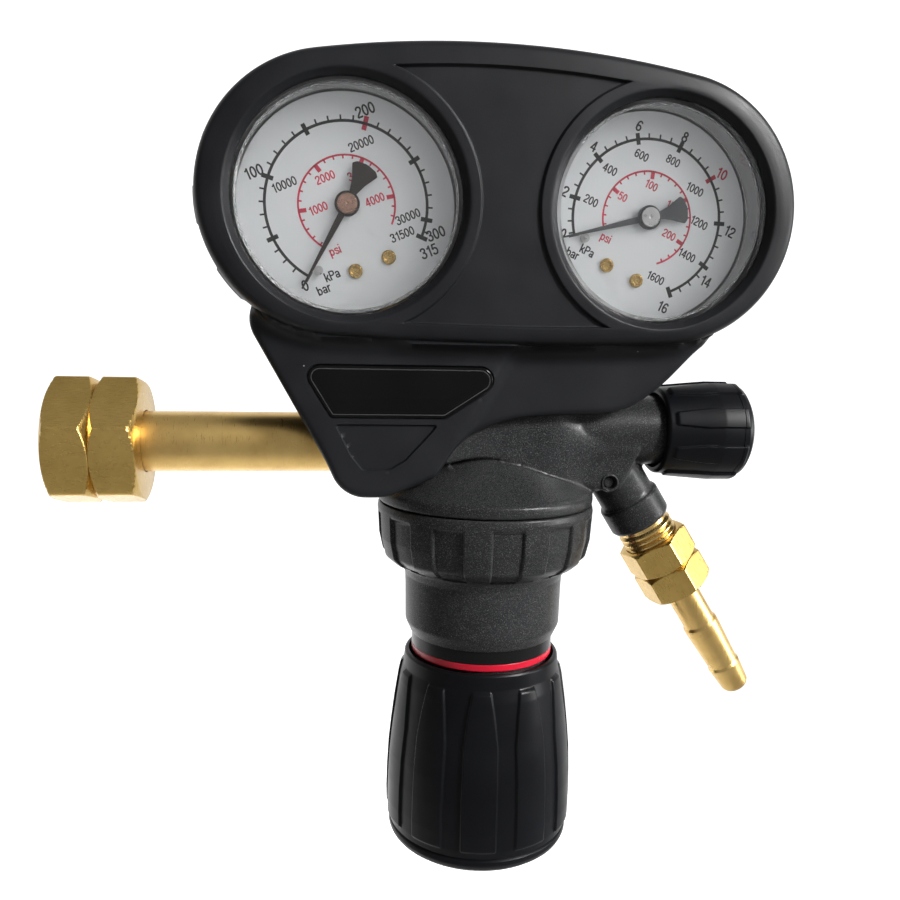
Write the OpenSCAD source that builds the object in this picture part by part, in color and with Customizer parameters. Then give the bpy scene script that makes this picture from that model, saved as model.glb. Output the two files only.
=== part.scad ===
// Single-stage gas pressure regulator for a cylinder valve.
// Millimetres. Origin: on the inlet nut's axis where its thread starts. X runs along the
// inlet stem towards the body, Z is up, and the gauges face -Y.

/* [Inlet] */
// Distance from the start of the inlet nut's thread to the body's vertical axis
axis_x = 117.4; // [112:0.1:132]
// Width across the flats of the inlet nut
inlet_nut_af = 32; // [31:0.5:34]
// Length of the inlet nut
inlet_nut_l = 23.5; // [22:0.5:28]
// Radius of the inlet nut's threaded bore (W21.8 minor)
inlet_thread_r = 9.95; // [9.8:0.05:10.1]
// Radius of the brass inlet stem
stem_r = 8.35; // [7.5:0.05:8.5]

/* [Gauges] */
// Half the distance between the gauge centres
gauge_x = 41.4; // [40:0.1:46]
// Height of the gauge centres over the inlet stem
gauge_z = 64.2; // [62:0.1:68]
// Radius of a gauge case (63 mm gauge)
case_r = 31.5; // [30:0.1:32]
// Lean of each gauge's stem towards the body, in degrees
gauge_lean = 24; // [22:0.5:26]
// Depth of the dial face in front of the stem axis
dial_y = -10.6; // [-12:0.1:-10]

/* [Cover] */
// Radius of the rubber cover's rounded ends
cover_r = 35.9; // [35:0.1:36.5]
// Half the distance between the centres of the two rounded ends
cover_x = 43.8; // [43:0.1:45]
// Rise of the cover's top edge over the centres of its ends
cover_top = 39.7; // [39:0.1:42]
// Drop of the cover's lower edge below the centres of its ends
cover_drop = 37.1; // [37:0.1:40]
// Radius of the round window openings
window_open_r = 30.5; // [29:0.1:31]

/* [Bonnet] */
// Radius of the body flange and the bonnet ring
flange_r = 31.4; // [30:0.1:34]
// Height of the joint between the flange and the bonnet, below the stem axis
bonnet_top = -16.8; // [-18:0.1:-16]
// Radius of the bonnet's lower cylinder
bonnet_low_r = 23.1; // [22:0.1:25]
// Radius of the bonnet's tube inside the knob
tube_r = 20; // [19:0.1:20.5]
// Number of shallow recesses round the bonnet ring
recess_count = 12; // [8:1:12]

/* [Adjusting knob] */
// Largest radius of the knob between its ribs
knob_r = 27.3; // [26:0.1:30]
// Number of raised ribs on the knob
knob_ribs = 11; // [8:1:12]
// Height of the ribs over the knob's wall
rib_h = 0.8; // [0.6:0.1:1.4]
// Free travel of the knob up the bonnet
knob_travel = 5; // [3:0.5:5]

/* [Outlet] */
// Distance from the body axis to the point where the outlet axis meets the arm
outlet_x = 33.3; // [32:0.1:35]
// Slope of the outlet below the horizontal, in degrees
outlet_slope = 57.2; // [55:0.2:60]
// Width across the flats of the outlet nut
outlet_nut_af = 19; // [18.5:0.5:22]
// Radius of the outlet thread (G3/8 major)
outlet_thread_r = 8.33; // [8:0.01:8.4]
// Height of the outlet valve's axis over the stem axis
arm_z = 4; // [2:0.5:5]
// Radius of the outlet valve's knob
small_knob_r = 14.2; // [13:0.1:15]

/* [Hidden] */
$fn = 72;
// gaps: shafts that turn, faces that seat, pieces in a pocket, covers over a piece
run_gap = 0.06;
// inlet, distances along X
mouth_in = -1.6;
thread_end = 10.1;
relief_end = 16.9;
nipple_x = 10.8;
nipple_back = 16.6;
seat_gap = 0.05;
pocket_gap = 0.2;
// gauge, local to the dial: y grows away from the viewer
case_front = -12;
case_back = 19;
dial_r = case_r - 2.9;
dial_t = 0.6;
dial_yc = -dial_y;
zero_angle = -128.4;
full_angle = 135;
square_in = case_r + 0.5;
square_out = case_r + 7.1;
gauge_thread_r = 6.4;
gauge_thread_l = 12;
arbor_r = 0.9;
sector_z = -9.5;
screw_x = 4.8;
screw_z = -16.6;
pin_at = 18.8;
// cover
cover_front = -24.8;
lip_w = 1.5;
cover_back = 11.4;
cover_wall_back = dial_y + case_back + 0.35;
shield_front = -18.6;
shield_back = -12.6;
wing_front = -16.4;
cover_z = gauge_z + 0.8;
top_R = (cover_top * cover_top - cover_r * cover_r + cover_x * cover_x) / (2 * (cover_top - cover_r));
low_R = (cover_drop * cover_drop - cover_r * cover_r + cover_x * cover_x) / (2 * (cover_drop - cover_r));
top_b = asin(cover_x / (top_R - cover_r));
low_b = asin(cover_x / (low_R - cover_r));
// body
core_r = flange_r - 17.2;
core_low_r = core_r + 1.8;
core_top = 10;
relief_y = flange_r - 9.9;
boss_r = 9.5;
boss_end = square_out + 0.1;
stem_boss_r = 11.2;
stem_in = -20;
valve_r = 6;
skirt_r = flange_r - 3.9;
skirt_end = -26.4;
chamber_r = flange_r - 9.9;
chamber_top = -20;
arm_r = 10.3;
arm_end = 53.2;
seat_x = 29;
gland_x = 38;
gland_r = 6.5;
// outlet, distances along its axis
boss_out_r = 8.3;
collar_r = 8.9;
collar_in = 19;
collar_out = 28.5;
outlet_bore_r = 3.4;
nipple_in = 21;
nipple_end = 43;
nut_in = 34.6;
nut_out = 53.2;
barb_in = 43.4;
barb_out = 92.3;
outlet_pitch = 1.337;
// diaphragm
dia_top = -26.6;
dia_t = 1.4;
dia_rise = 2;
dia_r = flange_r - 4.4;
slip_in = dia_r - 8.6;
stud_r = slip_in * 55 / 92;
slip_t = 1.1;
// bonnet and spring
bonnet_shoulder = dia_top - dia_t - slip_t - 3 * seat_gap;
tube_end = -92;
tube_in_r = 17;
band_top = -56.15;
band_low = -59.9;
ring_low = -61.9;
button_top = -76.9;
button_t = 4;
spring_wire_r = 2;
spring_mid_r = 13.4;
plate_low = -27.6;
screw_r = 5;
// knob
knob_top = -62.2;
knob_seam = -114.1;
knob_low = -122.5;
rib_low = -111.3;
mouth_r = 21.6;
web_top = tube_end - knob_travel - 1;
// outlet knob
sk_in = 50.8;
sk_seam = 73.6;
sk_out = 78.8;

// placing

module at_axis() {
  translate([axis_x, 0, 0]) children();
}

// the gauge's own frame: dial face at y = 0, its stem straight down
module at_gauge(side) {
  at_axis()
    translate([side * gauge_x, dial_y, gauge_z])
    rotate([0, side * gauge_lean, 0])
    children();
}

// the outlet's own frame: its axis is local Z, pointing out of the body
module at_outlet() {
  at_axis()
    translate([outlet_x, 0, 0])
    rotate([0, 90 + outlet_slope, 0])
    children();
}

// a rod along X from x0 to x1
module rod_x(r, x0, x1) {
  translate([x0, 0, 0]) rotate([0, 90, 0]) cylinder(r = r, h = x1 - x0);
}

// a rod along Y from y0 to y1
module rod_y(r, y0, y1) {
  translate([0, y0, 0]) rotate([-90, 0, 0]) cylinder(r = r, h = y1 - y0);
}

// a disc about Z from z0 up to z1
module rod_z(r, z0, z1) {
  translate([0, 0, z0]) cylinder(r = r, h = z1 - z0);
}

// a flat shape in X and Z, extruded from y0 to y1
module slab_y(y0, y1) {
  translate([0, y1, 0]) rotate([90, 0, 0]) linear_extrude(y1 - y0) children();
}

function arc_pts(cx, cz, r, a0, a1, n) =
  [for (i = [0:n]) let (a = a0 + (a1 - a0) * i / n) [cx + r * cos(a), cz + r * sin(a)]];

// union nut blank along Z from z0 to z1: chamfered ends and a V groove across the corners
module nut_blank(af, z0, z1) {
  corner = af / sqrt(3);
  c = (corner - af / 2) * 0.62;
  mid = (z0 + z1) / 2;
  v = corner - af / 2 + 0.15;
  intersection() {
    translate([0, 0, z0]) cylinder(r = corner, h = z1 - z0, $fn = 6);
    rotate_extrude()
      polygon([[0, z0], [af / 2 - 0.3, z0], [corner + 0.02, z0 + c], [corner + 0.02, mid - v * 0.7],
        [corner - v, mid], [corner + 0.02, mid + v * 0.7], [corner + 0.02, z1 - c],
        [af / 2 - 0.3, z1], [0, z1]]);
  }
}

// inlet

module inlet_nut() {
  color("goldenrod")
  rotate([0, 90, 0])
  difference() {
    rotate([0, 0, 73.5]) nut_blank(inlet_nut_af, mouth_in, mouth_in + inlet_nut_l);
    rod_z(inlet_thread_r, mouth_in - 1, thread_end);
    rod_z(inlet_thread_r + 1, thread_end, relief_end);
    rod_z(stem_r + 0.25, thread_end + 1, mouth_in + inlet_nut_l + 1);
    rotate_extrude()
      polygon([[0, mouth_in - 0.1], [inlet_thread_r + 1.7, mouth_in - 0.1], [inlet_thread_r, 0], [0, 0]]);
  }
}

module inlet_stem() {
  color("goldenrod")
  rotate([0, 90, 0])
  difference() {
    rotate_extrude()
      polygon([[0, nipple_x], [8.9, nipple_x], [9.5, nipple_x + 0.6], [9.5, nipple_back - 0.6],
        [8.9, nipple_back], [stem_r, nipple_back], [stem_r, axis_x + stem_in - seat_gap],
        [0, axis_x + stem_in - seat_gap]]);
    rod_z(3, nipple_x - 1, axis_x + 1);
    rod_z(4.5, nipple_x - 1, nipple_x + 21.6);
    rod_z(7.9, nipple_x - 1, nipple_x + 1);
  }
}

module inlet_seal() {
  color("ivory")
  rotate([0, 90, 0])
  difference() {
    rod_z(7.85, nipple_x - 0.6, nipple_x + 0.95);
    rod_z(4.6, nipple_x - 2, nipple_x + 2);
  }
}

module inlet_filter() {
  color("peru")
  rotate([0, 90, 0])
  difference() {
    rotate_extrude()
      polygon([[0, nipple_x + 3.6], [4.45, nipple_x + 3.6], [4.45, nipple_x + 5.6], [3.9, nipple_x + 6],
        [3.4, nipple_x + 21.2], [0, nipple_x + 21.2]]);
    rod_z(2.2, nipple_x + 2, nipple_x + 19);
  }
}

// body

module cone_flare() {
  rotate_extrude()
    polygon(concat([[0, bonnet_top], [flange_r - 0.5, bonnet_top], [flange_r, bonnet_top + 0.5],
      [flange_r, bonnet_top + 3], [flange_r - 0.7, bonnet_top + 3.7]],
      [for (i = [1:7]) let (a = i * 11) [flange_r - 0.7 - 15.3 * sin(a), bonnet_top + 3.7 + 13 * (1 - cos(a))]],
      [[core_r, core_top], [0, core_top]]));
}

module gauge_boss(side) {
  translate([side * gauge_x, 0, gauge_z])
    rotate([0, side * gauge_lean, 0])
    translate([0, 0, -gauge_z / cos(gauge_lean) + 2])
    cylinder(r = boss_r, h = gauge_z / cos(gauge_lean) - 2 - boss_end);
}

module outlet_boss() {
  translate([outlet_x, 0, 0]) rotate([0, 90 + outlet_slope, 0])
    rotate_extrude()
    polygon([[0, -6], [boss_out_r, -6], [boss_out_r, collar_in], [collar_r, collar_in + 1],
      [collar_r, collar_out - 1.2], [collar_r - 1.2, collar_out], [0, collar_out]]);
}

module arm_web() {
  slab_y(-9.4, 9.4)
    polygon([[-12, 8], [-12, -5], [0, -3.7], [6, -3.5], [12, -4.9], [18.5, -7.5], [30, -12.5], [38, -13],
      [43, -3], [42, 4], [30, 10]]);
  // gusset between the flange and the arm
  slab_y(-6, 6)
    polygon([[10, -5], [17, bonnet_top + 2.3], [29.5, bonnet_top + 2.2], [34, -12], [30, -6]]);
}

module body() {
  color("dimgray")
  at_axis()
  difference() {
    union() {
      cone_flare();
      rod_z(skirt_r, skirt_end, bonnet_top + 1);
      rod_x(stem_boss_r, stem_in - 6, 0);
      gauge_boss(-1);
      gauge_boss(1);
      translate([0, 0, arm_z]) rod_x(arm_r, -4, arm_end);
      arm_web();
      outlet_boss();
      translate([0, 0, -1]) rod_y(8, 4, relief_y);
    }
    // stem socket, high pressure way and valve chamber
    rod_x(stem_r + seat_gap, stem_in - 7, stem_in);
    rod_x(2.5, stem_in - 1, -2);
    rod_z(valve_r, chamber_top - 8, -6);
    rod_z(3.2, -7, 3);
    // diaphragm chamber
    rod_z(chamber_r, skirt_end - 1, chamber_top);
    // gauge ports
    for (side = [-1, 1])
      translate([side * gauge_x, 0, gauge_z])
        rotate([0, side * gauge_lean, 0]) {
        translate([0, 0, -square_out - gauge_thread_l - 1.5]) cylinder(r = gauge_thread_r + seat_gap, h = 20);
        translate([0, 0, side < 0 ? -gauge_z / cos(gauge_lean) - 8 : -gauge_z / cos(gauge_lean)]) cylinder(r = 1.5, h = 40);
      }
    rod_x(1.5, -16, -3);
    translate([12.8, 0, 0]) rod_z(1.6, chamber_top - 1, 5);
    // outlet valve bore
    translate([0, 0, arm_z]) rod_x(2.2, 11, seat_x + 1);
    translate([0, 0, arm_z]) rod_x(gland_r, seat_x, arm_end + 1);
    // outlet way
    translate([outlet_x, 0, 0]) rotate([0, 90 + outlet_slope, 0]) {
      rod_z(outlet_bore_r, 0, nipple_in + 1);
      rod_z(7, nipple_in, collar_out + 1);
    }
    // relief valve socket
    translate([0, 0, -1]) rod_y(4.5, relief_y - 9.5, relief_y + 1.5);
    translate([0, relief_y - 5.5, -1]) rotate([180, 0, 0]) cylinder(r = 1.2, h = 22);
    // pin socket in the outlet boss
    translate([34.9, 0, -10.6]) rod_y(1.9, -10, -7.4);
  }
}

module body_pin() {
  color("dimgray")
  at_axis()
  translate([34.9, 0, -10.6])
  rod_y(1.35, -8.5, -7.45);
}

module relief_valve() {
  color("goldenrod")
  at_axis()
  translate([0, 0, -1])
  difference() {
    union() {
      rod_y(4.4, relief_y - 5.4, relief_y + 0.6);
      rod_y(6, relief_y + seat_gap, relief_y + 0.7);
      rotate([-90, 0, 0]) translate([0, 0, relief_y + 0.5]) cylinder(r = 14 / sqrt(3), h = 4.6, $fn = 6);
      rod_y(4.6, relief_y + 5, relief_y + 7);
    }
    rod_y(1.5, relief_y - 6.5, relief_y + 6.5);
    for (a = [0, 90]) rotate([0, a, 0]) translate([0, relief_y + 6, -6]) cylinder(r = 0.7, h = 12);
  }
}

module outlet_nipple() {
  color("goldenrod")
  at_outlet()
  difference() {
    rotate_extrude()
      polygon([[0, nipple_in + seat_gap], [6.95, nipple_in + seat_gap], [6.95, collar_out + 0.05],
        [7.5, collar_out + 0.1], [7.5, collar_out + 1.2], [outlet_thread_r, collar_out + 2],
        [outlet_thread_r, collar_out + 2.5], [7.6, collar_out + 3.1], [outlet_thread_r, collar_out + 3.8],
        [outlet_thread_r, collar_out + 4.1], [7.6, collar_out + 4.8], [outlet_thread_r, collar_out + 5.4],
        [outlet_thread_r, collar_out + 5.7], [7.6, collar_out + 6.3], [outlet_thread_r, collar_out + 7],
        [outlet_thread_r, nipple_end - 1], [outlet_thread_r - 1, nipple_end], [0, nipple_end]]);
    rod_z(outlet_bore_r, nipple_in - 1, nipple_end + 1);
    rotate_extrude() polygon([[0, nipple_end + 0.1], [6.1, nipple_end + 0.1], [3.3, nipple_end - 4.6], [0, nipple_end - 4.6]]);
  }
}

// high pressure valve

module valve_cartridge() {
  color("goldenrod")
  at_axis()
  difference() {
    rod_z(valve_r - seat_gap, chamber_top + 0.3, -6.1);
    rod_z(1.6, chamber_top - 1, -10);
    rod_z(3.4, -17.6, -13.6);
    rod_z(3.6, -13.8, -5);
    for (a = [45:90:315]) rotate([0, 0, a]) translate([0, 0, -9]) rod_x(1, 2, 7);
  }
}

module valve_seat() {
  color("ivory")
  at_axis()
  difference() {
    rod_z(3.35, -17.5, -14);
    rod_z(1.3, -19, -13);
  }
}

module poppet() {
  color("silver")
  at_axis()
  rotate_extrude()
    polygon([[0, -22.1], [0.8, -22.1], [0.8, -13.9], [2.2, -13.3], [2.6, -12.6], [2.6, -11],
      [1.4, -11], [1.4, -6.5], [0, -6.5]]);
}

function coil(r, w, z0, z1, turns, per, sides) = [
  for (i = [0:turns * per]) let (a = 360 * i / per, z = z0 + (z1 - z0) * i / (turns * per))
    for (k = [0:sides - 1]) let (b = 360 * k / sides)
      [(r + w * cos(b)) * cos(a), (r + w * cos(b)) * sin(a), z + w * sin(b)]];

module helix(r, w, z0, z1, turns, per, sides) {
  n = turns * per;
  polyhedron(coil(r, w, z0, z1, turns, per, sides), concat(
    [[for (k = [0:sides - 1]) k]],
    [for (i = [0:n - 1]) for (k = [0:sides - 1]) let (m = (k + 1) % sides)
      [i * sides + k, (i + 1) * sides + k, (i + 1) * sides + m, i * sides + m]],
    [[for (k = [sides - 1:-1:0]) n * sides + k]]));
}

module poppet_spring() {
  color("silver")
  at_axis()
  helix(2, 0.4, -10.5, -0.5, 6, 14, 6);
}

// diaphragm

module diaphragm() {
  color("black")
  at_axis()
  rotate_extrude()
    polygon([[2.1, dia_top - dia_t + dia_rise], [slip_in - 4.9, dia_top - dia_t + dia_rise],
      [slip_in - 0.4, dia_top - dia_t],
      [dia_r, dia_top - dia_t], [dia_r, dia_top], [slip_in, dia_top], [slip_in - 4.5, dia_top + dia_rise],
      [2.1, dia_top + dia_rise]]);
}

module diaphragm_plate() {
  color("goldenrod")
  at_axis()
  difference() {
    rotate_extrude()
      polygon([[0, plate_low], [slip_in - 7.2, plate_low], [slip_in - 5.8, plate_low + 1.5],
        [slip_in - 5.8, dia_top - dia_t + dia_rise - seat_gap], [0, dia_top - dia_t + dia_rise - seat_gap]]);
    rod_z(2.05, plate_low - 1, dia_top + 2);
  }
}

module diaphragm_stud() {
  color("goldenrod")
  at_axis()
  rotate_extrude()
    polygon([[0, plate_low - 2.5], [3.6, plate_low - 2.5], [3.6, plate_low - seat_gap], [2, plate_low - seat_gap],
      [2, dia_top + dia_rise + seat_gap],
      [stud_r, dia_top + dia_rise + seat_gap], [stud_r, dia_top + dia_rise + 1.2], [2.5, dia_top + dia_rise + 1.4], [2.5, -22.2], [0, -22.2]]);
}

module slip_ring() {
  color("silver")
  at_axis()
  difference() {
    rod_z(dia_r, dia_top - dia_t - slip_t - seat_gap, dia_top - dia_t - seat_gap);
    rod_z(slip_in, dia_top - 5, dia_top);
  }
}

// bonnet

module bonnet() {
  color("dimgray")
  at_axis()
  difference() {
    rotate_extrude()
      polygon([[0, bonnet_top - 0.25], [flange_r - 0.5, bonnet_top - 0.25], [flange_r + 0.2, bonnet_top - 1],
        [flange_r - 0.3, -27], [flange_r - 1.5, -32.2], [flange_r - 3.9, -34.2], [bonnet_low_r + 1.5, -35.6],
        [bonnet_low_r + 0.2, -37.5], [bonnet_low_r, -39], [bonnet_low_r - 0.2, -53], [tube_r + 1.3, -56],
        [tube_r, -56.1], [tube_r, tube_end], [0, tube_end]]);
    rod_z(skirt_r + 0.3, bonnet_shoulder, bonnet_top + 1);
    rod_z(17.2, -40, bonnet_top);
    rod_z(tube_in_r, tube_end + 9, -30);
    rod_z(9.5, tube_end - 1, tube_end + 10);
    for (k = [0:recess_count - 1])
      rotate([0, 0, k * 360 / recess_count + 1])
        translate([-3.6, -flange_r - 3, -36.5])
        cube([7.2, 3.9, 16.2]);
    rotate([0, 0, 90]) translate([0, 0, -46]) rod_x(1.5, 10, 30);
  }
}

module screw_insert() {
  color("goldenrod")
  at_axis()
  difference() {
    union() {
      rod_z(9.45, tube_end, tube_end + 9.5);
      rod_z(11.5, tube_end + 9 + seat_gap, tube_end + 11);
    }
    rod_z(screw_r + run_gap, tube_end - 1, tube_end + 12);
  }
}

module adjusting_spring() {
  color("silver")
  at_axis()
  helix(spring_mid_r, spring_wire_r, button_top + spring_wire_r + 0.1, plate_low - spring_wire_r - 0.1, 7, 20, 8);
}

module spring_button() {
  color("silver")
  at_axis()
  difference() {
    rotate_extrude()
      polygon([[0, button_top - button_t], [6, button_top - button_t], [16.4, button_top - 2.2],
        [16.4, button_top], [11, button_top], [10.4, button_top + 4], [0, button_top + 4]]);
    rod_z(2.6, button_top - button_t - 1, button_top - button_t + 2);
  }
}

module adjusting_screw() {
  color("silver")
  at_axis()
  rotate_extrude()
    polygon([[0, button_top - button_t + 1.9], [1.6, button_top - button_t + 1.9], [2.5, button_top - button_t - 0.1],
      [screw_r - 0.6, button_top - button_t - 0.1], [screw_r, button_top - button_t - 0.8],
      [screw_r, web_top + seat_gap], [screw_r - 0.4, web_top + seat_gap], [screw_r - 0.4, -112], [0, -112]]);
}

// adjusting knob

knob_line = [[knob_r - 4.8, knob_top], [knob_r - 4.4, knob_top - 0.6], [knob_r - 4, -66.5],
  [knob_r - 3.2, -70], [knob_r - 2.1, -77.5], [knob_r - 1.2, -85], [knob_r - 0.5, -92],
  [knob_r - 0.15, -99.5], [knob_r, -107], [knob_r - 0.15, -112], [knob_r - 0.4, knob_seam]];

module knob_ribs_zone() {
  for (k = [0:knob_ribs - 1])
    rotate([0, 0, k * 360 / knob_ribs - 9.7])
      slab_y(-32, -15)
      polygon([[-1.7, -67.4], [1.7, -67.4], [2.6, -68.4], [3.6, -76], [4.4, -86], [4.6, -100], [4.6, -110.2],
        [3.8, rib_low], [-3.8, rib_low], [-4.6, -110.2], [-4.6, -100], [-4.4, -86], [-3.6, -76], [-2.6, -68.4]]);
}

module adjusting_knob() {
  color("#1c1c1e")
  at_axis()
  difference() {
    union() {
      rotate_extrude() polygon(concat([[0, knob_top]], knob_line, [[0, knob_seam]]));
      intersection() {
        rotate_extrude()
          polygon([[15, -67], [knob_r - 3.9, -67.2], [knob_r - 3 + rib_h, -71], [knob_r - 2.1 + rib_h, -77.5],
            [knob_r - 1.2 + rib_h, -85], [knob_r - 0.5 + rib_h, -92], [knob_r - 0.15 + rib_h, -99.5],
            [knob_r + rib_h, -107], [knob_r + rib_h - 0.1, rib_low + 0.8], [knob_r - 0.2, rib_low - 0.1],
            [15, rib_low - 0.1]]);
        knob_ribs_zone();
      }
    }
    rod_z(mouth_r, web_top, knob_top + 1);
    rod_z(screw_r - 0.4 + seat_gap, -120, web_top + 1);
    difference() {
      rod_z(24.5, -120, web_top - 6);
      rod_z(8, -121, web_top - 5);
      for (a = [0:60:300]) rotate([0, 0, a]) translate([0, -1, -121]) cube([27, 2, 30]);
    }
    rod_z(23.4, -120, -111);
    rod_z(8.5, -120, -107);
  }
}

module knob_nut() {
  color("silver")
  at_axis()
  difference() {
    translate([0, 0, -111.6]) cylinder(r = 14 / sqrt(3), h = 4.5, $fn = 6);
    rod_z(screw_r - 0.4 + seat_gap, -114, -100);
  }
}

module knob_cap() {
  color("#1c1c1e")
  at_axis()
  difference() {
    union() {
      rotate_extrude()
        polygon([[0, knob_seam - 0.35], [knob_r - 0.9, knob_seam - 0.35], [knob_r - 0.3, knob_seam - 0.9],
          [knob_r - 0.2, -116.2], [knob_r - 0.8, -117.6], [knob_r - 2.4, -118.9], [knob_r - 5, -120],
          [knob_r - 8.4, -120.95], [14.8, -121.65], [10.6, -122.1], [6.5, -122.4], [0, knob_low]]);
      rod_z(23.2, knob_seam - 1, -111.2);
    }
    rod_z(20, -119, -110);
  }
}

module label_band() {
  color("#111111")
  at_axis()
  difference() {
    rod_z(tube_r + 0.9, band_low, band_top);
    rod_z(tube_r + seat_gap, band_low - 1, band_top + 1);
  }
}

module colour_ring() {
  color("crimson")
  at_axis()
  difference() {
    rotate_extrude()
      polygon([[tube_r - 2, ring_low], [tube_r + 0.8, ring_low], [tube_r + 0.95, ring_low + 0.2],
        [tube_r + 0.95, band_low - 0.25], [tube_r + 0.8, band_low - 0.05], [tube_r - 2, band_low - 0.05]]);
    rod_z(tube_r + seat_gap, ring_low - 1, band_low + 1);
  }
}

// outlet valve

module small_rib_zone() {
  for (k = [0:7])
    rotate([0, 0, k * 45 + 22.5])
      slab_y(-17, -8)
      polygon([[-1.5, sk_in + 2.2], [1.5, sk_in + 2.2], [2.2, sk_in + 3], [3, sk_in + 12], [3, sk_seam + 1.5],
        [-3, sk_seam + 1.5], [-3, sk_in + 12], [-2.2, sk_in + 3]]);
}

module outlet_knob() {
  color("#1c1c1e")
  at_axis()
  translate([0, 0, arm_z])
  rotate([0, 90, 0])
  difference() {
    union() {
      rotate_extrude()
        polygon([[0, sk_in], [12.2, sk_in], [12.9, sk_in + 0.7], [small_knob_r - 0.5, 61.5],
          [small_knob_r, 67.5], [small_knob_r, sk_seam - 0.2], [0, sk_seam - 0.2]]);
      intersection() {
        rotate_extrude()
          polygon([[8, sk_in + 2], [13, sk_in + 2.2], [13.7, sk_in + 2.9], [small_knob_r + 0.3, 61.5],
            [small_knob_r + 0.7, 67.5], [small_knob_r + 0.7, sk_seam - 0.2], [8, sk_seam - 0.2]]);
        small_rib_zone();
      }
    }
    rod_z(11.2, sk_in - 1, 62);
    rod_z(3 + seat_gap, 60, 90);
    rod_z(9.5, 71.5, 90);
  }
}

module outlet_knob_cap() {
  color("#1c1c1e")
  at_axis()
  translate([0, 0, arm_z])
  rotate([0, 90, 0]) {
    rotate_extrude()
      polygon([[0, sk_seam - 1.8], [9.4, sk_seam - 1.8], [9.4, sk_seam], [small_knob_r, sk_seam],
        [small_knob_r, sk_seam + 1.5], [small_knob_r - 0.5, sk_seam + 2.7], [small_knob_r - 2, sk_seam + 3.8],
        [small_knob_r - 5.5, sk_out - 0.5], [0, sk_out]]);
    intersection() {
      rotate_extrude()
        polygon([[8, sk_seam], [small_knob_r + 0.7, sk_seam], [small_knob_r + 0.4, sk_seam + 1.1],
          [small_knob_r - 0.3, sk_seam + 1.6], [8, sk_seam + 1.6]]);
      small_rib_zone();
    }
  }
}

module outlet_spindle() {
  color("silver")
  at_axis()
  translate([0, 0, arm_z])
  rotate([0, 90, 0])
  rotate_extrude()
    polygon([[0, seat_x + 0.9], [1.7, seat_x + 0.9], [1.7, seat_x + 2.6], [4.8, seat_x + 2.6], [4.8, seat_x + 4.6],
      [3, seat_x + 4.6], [3, 44], [4, 44.4], [4, 56.4], [3, 57], [3, 71.4], [0, 71.4]]);
}

module gland_nut() {
  color("goldenrod")
  at_axis()
  translate([0, 0, arm_z])
  rotate([0, 90, 0])
  difference() {
    union() {
      rod_z(gland_r - seat_gap, gland_x, arm_end + 0.1);
      translate([0, 0, arm_end + 0.1]) cylinder(r = 17 / sqrt(3), h = 5, $fn = 6);
    }
    rod_z(4 + run_gap, 43, 60);
    rod_z(3 + run_gap, gland_x - 1, 44);
    rod_z(5, gland_x - 1, gland_x + 3);
  }
}

module spindle_seal() {
  color("#151515")
  at_axis()
  translate([0, 0, arm_z])
  rotate([0, 90, 0])
  difference() {
    rod_z(4.95, gland_x + 0.2, gland_x + 2.8);
    rod_z(3 + run_gap, gland_x - 1, gland_x + 4);
  }
}

module outlet_disc() {
  color("ivory")
  at_axis()
  translate([0, 0, arm_z])
  rotate([0, 90, 0])
  difference() {
    rod_z(4.8, seat_x + seat_gap, seat_x + 2.5);
    rod_z(1.8, seat_x + 0.8, seat_x + 3);
  }
}

// outlet connection

module outlet_nut() {
  color("goldenrod")
  at_outlet()
  difference() {
    rotate([0, 0, 22]) nut_blank(outlet_nut_af, nut_in, nut_out);
    rod_z(outlet_thread_r + run_gap, nut_in - 1, 48);
    rod_z(5.15, 47, nut_out + 1);
  }
}

module hose_barb() {
  color("goldenrod")
  at_outlet()
  difference() {
    rotate_extrude()
      polygon([[0, barb_in - 3.6], [3.4, barb_in - 3.6], [5.8, barb_in + 0.4], [8, barb_in + 0.8],
        [8, 47.6], [5, 47.9], [5, 66.7], [5.5, 67.3], [5.5, 69.3], [4.75, 82.8], [5.1, 83.6],
        [5, 84.2], [4.3, 91.2], [3.7, barb_out - 0.2], [3.4, barb_out], [0, barb_out]]);
    rod_z(2.6, barb_in - 5, barb_out + 1);
  }
}

// rubber cover

function oval(d) = concat(
  arc_pts(cover_x, cover_z, cover_r - d, -90 + low_b, 90 - top_b, 26),
  arc_pts(0, cover_z + cover_top - top_R, top_R - d, 90 - top_b, 90 + top_b, 9),
  arc_pts(-cover_x, cover_z, cover_r - d, 90 + top_b, 270 - low_b, 26),
  arc_pts(0, cover_z - cover_drop + low_R, low_R - d, 270 - low_b, 270 + low_b, 5));

module cover_block() {
  hull() {
    slab_y(cover_front, cover_front + 0.1) polygon(oval(3.4));
    slab_y(cover_front + 0.7, cover_front + 0.8) polygon(oval(1.6));
    slab_y(cover_front + 2.4, cover_front + 2.5) polygon(oval(0.4));
    slab_y(cover_front + 5, cover_back - 3) polygon(oval(0));
    slab_y(cover_back - 0.1, cover_back) polygon(oval(2.4));
  }
}

function shield_pts(d) = concat(
  [[-60, 45], [-68 + d, 34.6], [-46.4 + d, -3.8 + d * 0.3]],
  arc_pts(-35.9, -3.3, 9.9 - d, 205, 265, 5),
  [[-30.5 - d * 0.1, -13.1 + d], [-22, -9.8 + d], [-18.2 - d * 0.6, -8 + d]]);

module shield_block() {
  hull() {
    slab_y(shield_front, shield_front + 0.1) polygon(concat(shield_pts(1.8), [[-4.4, 20], [-6, 45]]));
    slab_y(shield_front + 1.4, shield_back) polygon(concat(shield_pts(0), [[-16.6, -6.4], [-2.6, 20], [-5, 45]]));
  }
}

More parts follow.
